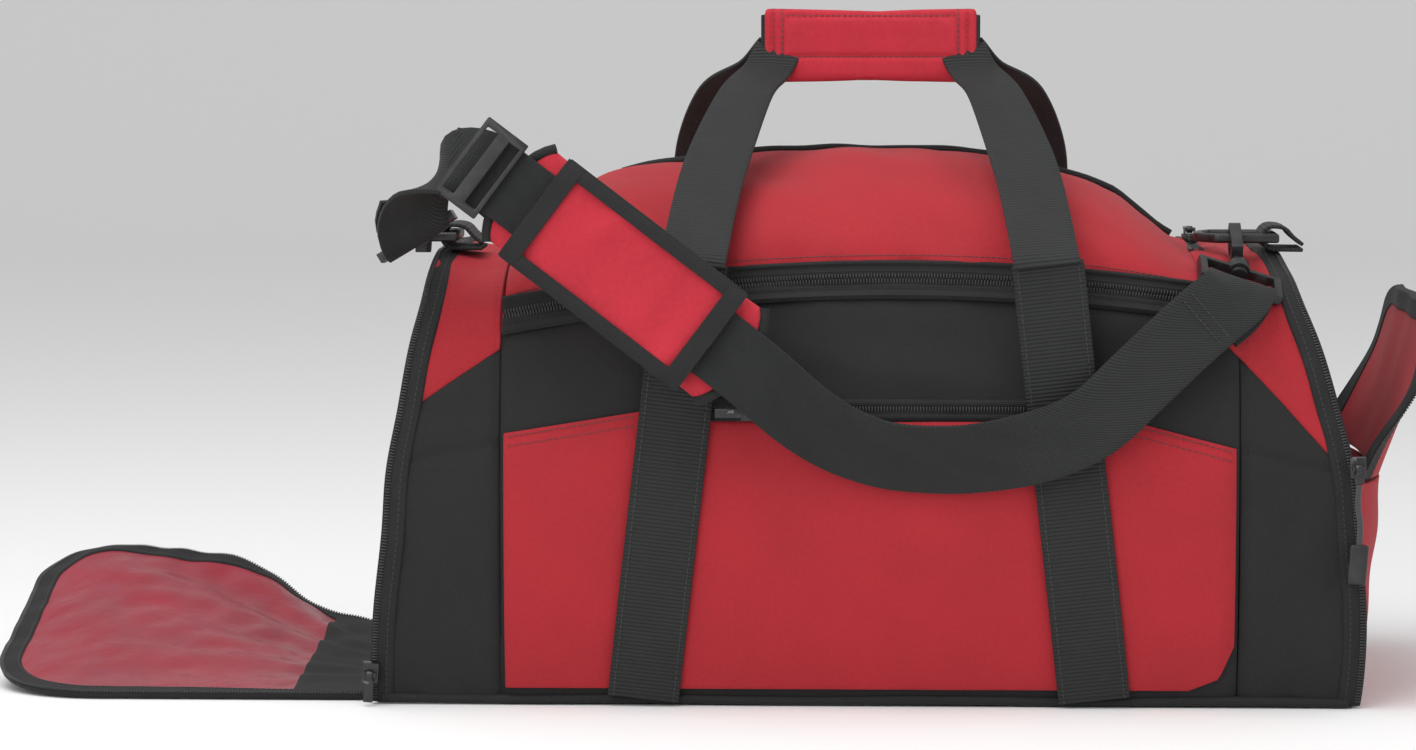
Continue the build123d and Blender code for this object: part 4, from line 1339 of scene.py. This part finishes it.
def red_vinyl():
    """Coated red vinyl: glossy, lightly orange-peeled, creased, with blue-grey scuffs."""
    gloss = {"Coat_Weight": 0.10, "Coat_Roughness": 0.25, "Specular_IOR_Level": 0.32}
    material, shader, wire = finish("red_vinyl", 0.34, **gloss)
    at = wire.add("TexCoord", out="UV")
    x, y, z = wire.split(at)
    grain = wire.noise(at, 0.0016, 2.0)
    cloud = wire.noise(at, 0.06, 4.0)
    crease = wire.noise(at, 0.028, 5.0)
    rubbed = wire.noise(at, 0.020, 6.0).above(0.60, 0.22)
    surface_colour = (0.5 + (cloud - 0.5) * 1.1).mixed((0.21, 0.0095, 0.021), (0.36, 0.0190, 0.041))
    surface_colour = (rubbed * 0.15).mixed(surface_colour, (0.26, 0.19, 0.24))
    rough = 0.26 + rubbed * 0.28 + cloud * 0.1
    connect(wire, shader, Base_Color=surface_colour, Roughness=rough)
    connect(wire, shader, Normal=relief(wire, crease * 1.2 + grain * 0.12, 0.0022, 0.6))
    return material


BALL_X = (-0.2690, -0.315, -0.375, -0.430, -0.478)
BALL_BACK = (0.0004, 0.016, 0.046, 0.056, 0.053)
BALL_HALF = 0.117
BALL_CORNER = 0.062
BALL_EDGE = 0.012
back_edge = smooth_route([(-x, z, 0.0) for x, z in zip(BALL_X, BALL_BACK)], 120)


def ball_height(x, y):
    """Upper side of the folded-down flap."""
    back = np.interp(-x, back_edge[:, 0], back_edge[:, 1])
    share = np.clip((y + BALL_HALF) / (2 * BALL_HALF), 0, 1)
    out = np.clip((-0.2690 - x) / 0.03, 0, 1)
    pull = 0.0020 * ripples(x * 1.1 + y * 0.9, y * 0.3 - x * 0.2, 0.085, 121)
    pull = pull + 0.0008 * ripples(x, y, 0.032, 122)
    fan = 0.0016 * ripples(np.arctan2(y + 0.03, -x - 0.20) * 0.10, x * 0, 0.030, 123)
    free = np.clip(share * 4, 0, 1) * out
    return 0.0032 + np.maximum(back, 0) * share**1.2 + (pull + fan) * free * (0.35 + 0.65 * share)


def ball_half(x, inset):
    radius = BALL_CORNER - inset
    past = np.clip(-0.478 + BALL_CORNER - x, 0, radius)
    return BALL_HALF - BALL_CORNER + np.sqrt(np.maximum(radius**2 - past**2, 0))


def ball_rule(u, v):
    tip = -0.478 + BALL_EDGE - 0.005
    x = -0.2700 + (1 - (1 - u) ** 1.5) * (tip + 0.2700)
    y = -(2 * v - 1) * ball_half(x, BALL_EDGE - 0.005)
    return x, y, ball_height(x, y)


ball_flap = laid_cloth("ball_flap_vinyl", 110, 100, ball_rule, 0.0018, red_vinyl())
placed(ball_flap, "ball_flap", "red_vinyl", "ball_flap_panel")
side_x = np.linspace(-0.2700, -0.478 + BALL_CORNER, 24)
turn = np.linspace(0, pi / 2, 26)[1:]
rim_x = np.concatenate([side_x, -0.478 + BALL_CORNER - BALL_CORNER * np.sin(turn)])
rim_y = np.concatenate([np.full(24, BALL_HALF), BALL_HALF - BALL_CORNER + BALL_CORNER * np.cos(turn)])
rim_x = np.concatenate([rim_x, rim_x[::-1]])
rim_y = np.concatenate([-rim_y, rim_y[::-1]])
rim_run = np.concatenate([[0], np.cumsum(np.hypot(np.diff(rim_x), np.diff(rim_y)))])


def ball_tape(u, v):
    """The bound edge of the flap: u runs round it and v out to the edge."""
    at = u * rim_run[-1]
    x = np.interp(at, rim_run, rim_x)
    y = np.interp(at, rim_run, rim_y)
    past = x < -0.478 + BALL_CORNER
    in_x = np.where(past, -(x + 0.478 - BALL_CORNER), 0)
    in_y = np.where(past, -np.sign(y) * np.clip(np.abs(y) - BALL_HALF + BALL_CORNER, 0, 1), -np.sign(y))
    flat_end = past & (np.abs(y) < BALL_HALF - BALL_CORNER + 0.0003)
    in_x = np.where(flat_end, 1, in_x)
    in_y = np.where(flat_end, 0, in_y)
    size = np.hypot(in_x, in_y)
    across = (1 - v) * BALL_EDGE
    x = x + in_x / size * across
    y = y + in_y / size * across
    return x, y, ball_height(x, y) + 0.0009 - 0.0008 * near(1 - v, 0.12)


ball_binding = laid_cloth("ball_flap_edge", 240, 8, ball_tape, 0.0036, ZIP_TAPE)
placed(ball_binding, "ball_flap", "zip_tape", "ball_flap_binding")
u = np.linspace(0.004, 0.996, 300)
for row, share in (("coil", 0.90), ("stitch", 0.16)):
    line = np.stack(ball_tape(u, np.full_like(u, share)), axis=1)
    if row == "coil":
        made = zip_row("ball_flap_coil", line, (0, 0, 1), "ball_flap", 0.0002)
    else:
        made = sewn("ball_flap_stitch", line, (0, 0, 1), "ball_flap", "zip_tape", BLACK_THREAD)


def hinge_strip(u, v):
    """A strip of tape that strengthens the flap where it is sewn to the base."""
    x = -0.2705 - u * 0.040
    y = 0.112 - 0.226 * v
    return x, y, ball_height(x, y) + 0.0012


foot_tape = laid_cloth("ball_flap_foot_tape", 10, 60, hinge_strip, 0.0016, ZIP_TAPE)
placed(foot_tape, "ball_flap", "zip_tape")


# ---------------------------------------------------------------- shoulder strap
# One length of 38 mm webbing: from the right hook down over the front, through the shoulder
# pad, through a tri-glide that sets its length, and round to the left hook.

PAD_LOW = (-0.066, -0.175, 0.186)
PAD_HIGH = (-0.190, -0.157, 0.279)
PAD_SIDE = (0.602, 0.0, 0.798)
PAD_BACK = (-0.602, 0.0, -0.798)
STRAP_LINE = [
    ((0.1800, -0.1345, 0.2065), (0.93, 0.13, -0.30)),
    ((0.1895, -0.1255, 0.2135), (0.93, 0.13, -0.30)),
    ((0.1951, -0.1180, 0.2200), (0.93, 0.13, -0.30)),
    ((0.1965, -0.1160, 0.2256), (0.93, 0.13, -0.30)),
    ((0.1979, -0.1208, 0.2278), (0.93, 0.13, -0.30)),
    ((0.1935, -0.1315, 0.2215), (0.93, 0.12, -0.32)),
    ((0.1800, -0.1405, 0.2110), (0.84, 0.05, -0.54)),
    ((0.1630, -0.1470, 0.1965), (0.80, 0.0, -0.60)),
    ((0.1410, -0.1520, 0.1760), (0.76, -0.05, -0.64)),
    ((0.1180, -0.1550, 0.1550), (0.62, 0.0, -0.78)),
    ((0.0920, -0.1560, 0.1430), (0.42, 0.0, -0.90)),
    ((0.0580, -0.1560, 0.1360), (0.15, 0.25, -0.95)),
    ((0.0210, -0.1570, 0.1355), (0.0, 0.35, -0.93)),
    ((-0.0100, -0.1600, 0.1435), (-0.3, 0.3, -0.90)),
    ((-0.0350, -0.1660, 0.1590), (-0.52, 0.15, -0.84)),
    (PAD_LOW, PAD_BACK),
    ((-0.128, -0.166, 0.2325), PAD_BACK),
    (PAD_HIGH, PAD_BACK),
    ((-0.2040, -0.1535, 0.2890), PAD_BACK),
    ((-0.2190, -0.1485, 0.2890), (-0.61, -0.05, -0.78)),
    ((-0.2320, -0.1430, 0.2790), (-0.70, -0.1, -0.70)),
    ((-0.2400, -0.1370, 0.2660), (-0.80, -0.1, -0.58)),
    ((-0.2420, -0.1320, 0.2560), (-0.85, -0.04, -0.52)),
    ((-0.2412, -0.1290, 0.2500), (-0.85, -0.04, -0.52)),
    ((-0.2390, -0.1250, 0.2466), (-0.85, -0.04, -0.52)),
    ((-0.2410, -0.1212, 0.2500), (-0.85, -0.04, -0.52)),
    ((-0.2440, -0.1250, 0.2600), (-0.83, -0.06, -0.55)),
    ((-0.2420, -0.1300, 0.2700), (-0.80, -0.1, -0.58)),
]


def strap_hollow(u, v):
    """The webbing cups a little along its middle and rolls at its edges."""
    cup = -0.0012 * (1 - (2 * v - 1) ** 2) * np.sin(pi * u)
    return cup + 0.0004 * ripples(u * 1.0, v * 0.04, 0.05, 131)


strap = strip("shoulder_strap", STRAP_LINE, WEB, WEB_THICK, WEBBING, 0.0035, hollow=strap_hollow)
placed(strap, "strap", "webbing", "strap_webbing")

# The end doubled back from the tri-glide lies under the first length
back_line = [
    ((-0.2215, -0.1462, 0.2905), (0.62, 0.0, 0.78)),
    ((-0.2040, -0.1512, 0.2860), PAD_SIDE),
    ((-0.1880, -0.1532, 0.2745), PAD_SIDE),
]
turned = [(point, tuple(-c for c in side)) for point, side in back_line[::-1]]
doubled = strip("strap_doubled_end", turned, WEB, WEB_THICK, WEBBING)
placed(doubled, "strap", "webbing")
for hand, stations in (("right", STRAP_LINE[5:9]), ("left", STRAP_LINE[19:23])):
    joined = np.array([[*p, *s] for p, s in stations])
    route = smooth_route(joined, 50)
    ahead, across, out = frames(route[:, :3], route[:, 3:])
    spot = 16 if hand == "right" else 33
    for row, shift in enumerate((-2, 2)):
        at = spot + shift
        wide = np.linspace(-0.0155, 0.0155, 16)[:, None]
        line = route[at, :3] + across[at] * wide + out[at] * (WEB_THICK / 2)
        sewn(f"strap_{hand}_tack_{row + 1}", line, facing(line, out[at]), "strap", "webbing", BLACK_THREAD)

# Shoulder pad: foam base behind the webbing, cloth cover over it, black tape round both
pad_run = Vector(PAD_HIGH) - Vector(PAD_LOW)
pad_long = pad_run.length
pad_ahead = pad_run.normalized()
pad_side = Vector(PAD_SIDE)
pad_side = (pad_side - pad_ahead * pad_side.dot(pad_ahead)).normalized()
pad_out = pad_ahead.cross(pad_side)
if pad_out.y > 0:
    pad_out = -pad_out
pad_middle = (Vector(PAD_LOW) + Vector(PAD_HIGH)) / 2
PAD_WIDE = 0.063
COVER_LONG = 0.112


def pad_spot(along, side, lift):
    """Points on the pad from arrays: along it, across it, and out from the webbing's middle."""
    along, side, lift = np.broadcast_arrays(along, side, lift)
    spot = np.array(pad_middle)[:, None] + np.outer(pad_ahead, along.ravel())
    spot = spot + np.outer(pad_side, side.ravel()) + np.outer(pad_out, lift.ravel())
    return [row.reshape(along.shape) for row in spot]


def on_pad(piece):
    """Take a form made flat round the origin, with X along and Y across, to the pad's place."""
    count = len(piece.data.vertices)
    spots = np.zeros(count * 3)
    piece.data.vertices.foreach_get("co", spots)
    spots = spots.reshape(-1, 3)
    moved = np.stack(pad_spot(spots[:, 0], spots[:, 1], spots[:, 2]), axis=1)
    piece.data.vertices.foreach_set("co", moved.ravel())
    piece.data.update()
    only(piece)
    bpy.ops.object.mode_set(mode="EDIT")
    bpy.ops.mesh.select_all(action="SELECT")
    bpy.ops.mesh.normals_make_consistent(inside=False)
    bpy.ops.object.mode_set(mode="OBJECT")


def rounded_ends(spots):
    """Bring the corners of a pad in, so that each end is a shallow arc."""
    move = np.zeros_like(spots)
    share = spots[:, 1] / (PAD_WIDE / 2)
    end = np.clip((np.abs(spots[:, 0]) - 0.050) / 0.027, 0, 1)
    move[:, 0] = -np.sign(spots[:, 0]) * 0.009 * np.abs(share) ** 3 * end
    return move


def cover_folds(spots):
    """Wrinkles of the cover across the pad, deepest beside the bindings."""
    x, y = spots[:, 0], spots[:, 1]
    lift = 0.0007 * ripples(x, y * 0.5, 0.024, 141) + 0.0005 * ripples(x, y, 0.055, 142)
    move = np.zeros_like(spots)
    move[:, 2] = lift * (np.abs(y) < PAD_WIDE / 2 - 0.002)
    return move


voxel = 0.0016
half_long, half_wide = pad_long / 2 - 0.0015, PAD_WIDE / 2 - 0.0015
foam = soft_block(
    "shoulder_pad_base", (-half_long, -half_wide, -0.0056), (half_long, half_wide, -0.0019)
)
swollen(foam, 3.0, 0.0012, voxel)
pressed(foam, [rounded_ends])
on_pad(foam)
foam.data.materials.append(PAD_CLOTH)
placed(foam, "strap", "pad_foam", "pad_base")
half_long = COVER_LONG / 2 - 0.001
cover = soft_block(
    "shoulder_pad_cover", (-half_long, -half_wide, 0.0016), (half_long, half_wide, 0.0034)
)
swollen(cover, 3.0, 0.0012, voxel)
pressed(cover, [cover_folds])
on_pad(cover)
cover.data.materials.append(PAD_CLOTH)
placed(cover, "strap", "red_fabric", "pad_cover")


def pad_binding(name, along_low, along_high, side_low, side_high, lift):
    """Flat tape sewn on the cover, folded over the pad's edge."""
    def rule(u, v):
        along = along_low + (along_high - along_low) * u
        side = side_low + (side_high - side_low) * v
        roll = 0.0011 * near((np.abs(side) - PAD_WIDE / 2), 0.0022)
        return pad_spot(along, side, lift - roll + 0.0003 * ripples(along, side, 0.03, 151))
    piece = laid_cloth(name, 60, 12, rule, 0.0016, ZIP_TAPE)
    only(piece)
    bpy.ops.object.mode_set(mode="EDIT")
    bpy.ops.mesh.select_all(action="SELECT")
    bpy.ops.mesh.normals_make_consistent(inside=False)
    bpy.ops.object.mode_set(mode="OBJECT")
    return placed(piece, "strap", "zip_tape")


for name, side in (("upper", 1), ("lower", -1)):
    edge_low, edge_high = sorted((side * (PAD_WIDE / 2 + 0.0004), side * (PAD_WIDE / 2 - 0.0078)))
    reach = COVER_LONG / 2 + 0.002
    pad_binding(f"pad_{name}_binding", -reach, reach, edge_low, edge_high, 0.0056)
    along = np.linspace(-COVER_LONG / 2, COVER_LONG / 2, 60)
    across = np.full_like(along, side * (PAD_WIDE / 2 - 0.0066))
    line = np.stack(pad_spot(along, across, np.full_like(along, 0.0057)), axis=1)
    sewn(f"pad_{name}_stitch", line, pad_out, "strap", "zip_tape", BLACK_THREAD)
for name, end in (("high", 1), ("low", -1)):
    low, high = sorted((end * (COVER_LONG / 2 + 0.003), end * (COVER_LONG / 2 - 0.0075)))
    pad_binding(f"pad_{name}_band", low, high, -PAD_WIDE / 2 + 0.0004, PAD_WIDE / 2 - 0.0004, 0.0060)
    side = np.linspace(-PAD_WIDE / 2 + 0.003, PAD_WIDE / 2 - 0.003, 30)
    along = np.full_like(side, end * (COVER_LONG / 2 - 0.006))
    line = np.stack(pad_spot(along, side, np.full_like(side, 0.0061)), axis=1)
    sewn(f"pad_{name}_stitch", line, pad_out, "strap", "zip_tape", BLACK_THREAD)

# Black tape bound round each bare end of the foam
for name, end in (("high", 1), ("low", -1)):
    t = np.linspace(-1, 1, 30)
    reach = pad_long / 2 - 0.009 * np.abs(t) ** 3
    line = np.stack(pad_spot(end * reach, t * (PAD_WIDE / 2 - 0.001), np.full_like(t, -0.0037)), axis=1)
    piping(f"pad_{name}_edge", line, 0.0028, ZIP_TAPE, "strap", "zip_tape")


# ---------------------------------------------------------------- anchor tabs
# Short loops of 38 mm webbing sewn on top of the end pockets, each holding a D-ring's bar.

ANCHOR_LINE = (
    (0.0158, 0.2405), (0.006, 0.2406), (-0.001, 0.2409), (-0.0050, 0.2432), (-0.0064, 0.2470),
    (-0.0050, 0.2508), (-0.001, 0.2530), (0.0060, 0.2520), (0.0105, 0.2475), (0.0158, 0.2432),
)
for name, bar_x in (("left", -0.226), ("right", 0.218)):
    stations = [((bar_x + ahead, -0.050, z), (0, -1, 0)) for ahead, z in ANCHOR_LINE]
    tab = strip(f"{name}_anchor_loop", stations, 0.036, 0.0021, WEBBING, 0.0014)
    placed(tab, "bag", "webbing", f"{name}_anchor_tab")
    y = np.linspace(-0.0655, -0.0345, 14)
    line = np.stack([np.full_like(y, bar_x + 0.0142), y, np.full_like(y, 0.2456)], axis=1)
    sewn(f"{name}_anchor_stitch", line, (0.6, 0, 0.8), "bag", "webbing", BLACK_THREAD)


# ---------------------------------------------------------------- moulded hardware
# D-rings, snap hooks with their sprung gates and swivel loops, and the tri-glide: black acetal.

for name in ("left", "right"):
    moulding(f"{name}_d_ring", "bag", "black_plastic", BLACK_PLASTIC, 0.0017)
    moulding(f"{name}_hook", f"{name}_hook", "black_plastic", BLACK_PLASTIC, 0.0010)
    moulding(f"{name}_swivel_loop", "strap", "black_plastic", BLACK_PLASTIC, 0.0010)
    moulding(f"{name}_gate", f"{name}_gate", "black_plastic", BLACK_PLASTIC, 0.0006)
moulding("tri_glide", "strap", "black_plastic", BLACK_PLASTIC, 0.0009)


# ---------------------------------------------------------------- sliders and pulls
# Die-cast zinc sliders and flat pulls in worn black enamel.


def enamelled_zinc():
    """Black enamel on cast zinc: bright metal where the edges have worn."""
    material, shader, wire = finish("enamelled_zinc", 0.3, Coat_Weight=0.3, Coat_Roughness=0.15)
    at = wire.add("TexCoord", out="Object")
    cloud = wire.noise(at, 0.0035, 5.0)
    worn = cloud.above(0.66, 0.10)
    grain = wire.noise(at, 0.0004, 2.0)
    surface_colour = worn.mixed((0.018, 0.018, 0.019), (0.22, 0.22, 0.21))
    connect(wire, shader, Base_Color=surface_colour, Metallic=0.35 + worn * 0.6, Roughness=0.26 + grain * 0.2)
    connect(wire, shader, Normal=relief(wire, grain, 0.00004, 0.5))
    return material


ENAMEL = enamelled_zinc()
for name in ("main", "front_pocket", "left_pocket", "right_pocket"):
    moulding(f"{name}_slider", f"{name}_slider", "zip_metal", ENAMEL, 0.0009)
    moulding(f"{name}_pull", f"{name}_pull", "zip_metal", ENAMEL, 0.0004)


# ---------------------------------------------------------------- studio
# A pale floor that sweeps up behind, a big soft lamp above, and weaker ones in front and right.

bpy.ops.object.select_all(action="DESELECT")
def backdrop(u, v):
    """Floor that sweeps up far behind the bag, so that no edge shows."""
    way = -4.0 + 16.0 * v
    past = np.clip(way - 4.0, 0, None)
    turn = np.clip(past / 3.0, 0, pi / 2)
    y = np.minimum(way, 4.0) + 3.0 * np.sin(turn)
    z = 3.0 * (1 - np.cos(turn)) + np.clip(past - 1.5 * pi, 0, None)
    return 20.0 * (u - 0.5), y, z - 0.0003


pale, pale_shader, _ = finish("pale_floor", 0.9)
pale_shader.inputs["Base Color"].default_value = (0.88, 0.88, 0.88, 1)
floor = laid_cloth("floor", 8, 120, backdrop, 0.001, pale, 0)


def lamp(name, at, towards, size, power):
    data = bpy.data.lights.new(name, "AREA")
    data.energy = power
    data.size = size
    light = bpy.data.objects.new(name, data)
    bpy.context.scene.collection.objects.link(light)
    light.location = at
    light.rotation_euler = (Vector(at) - Vector(towards)).to_track_quat("Z", "Y").to_euler()


lamp("top_lamp", (-0.5, -0.6, 1.9), (0, 0, 0.15), 1.6, 26.0)
lamp("front_lamp", (-1.0, -2.4, 1.1), (0, 0, 0.15), 1.6, 17.0)
lamp("side_lamp", (1.9, -1.2, 0.9), (0, 0, 0.15), 1.2, 7.0)
world = bpy.data.worlds.new("studio")
world.use_nodes = True
world.node_tree.nodes["Background"].inputs["Color"].default_value = (1, 1, 1, 1)
world.node_tree.nodes["Background"].inputs["Strength"].default_value = 0.62
bpy.context.scene.world = world
bpy.context.scene.view_settings.view_transform = "Standard"
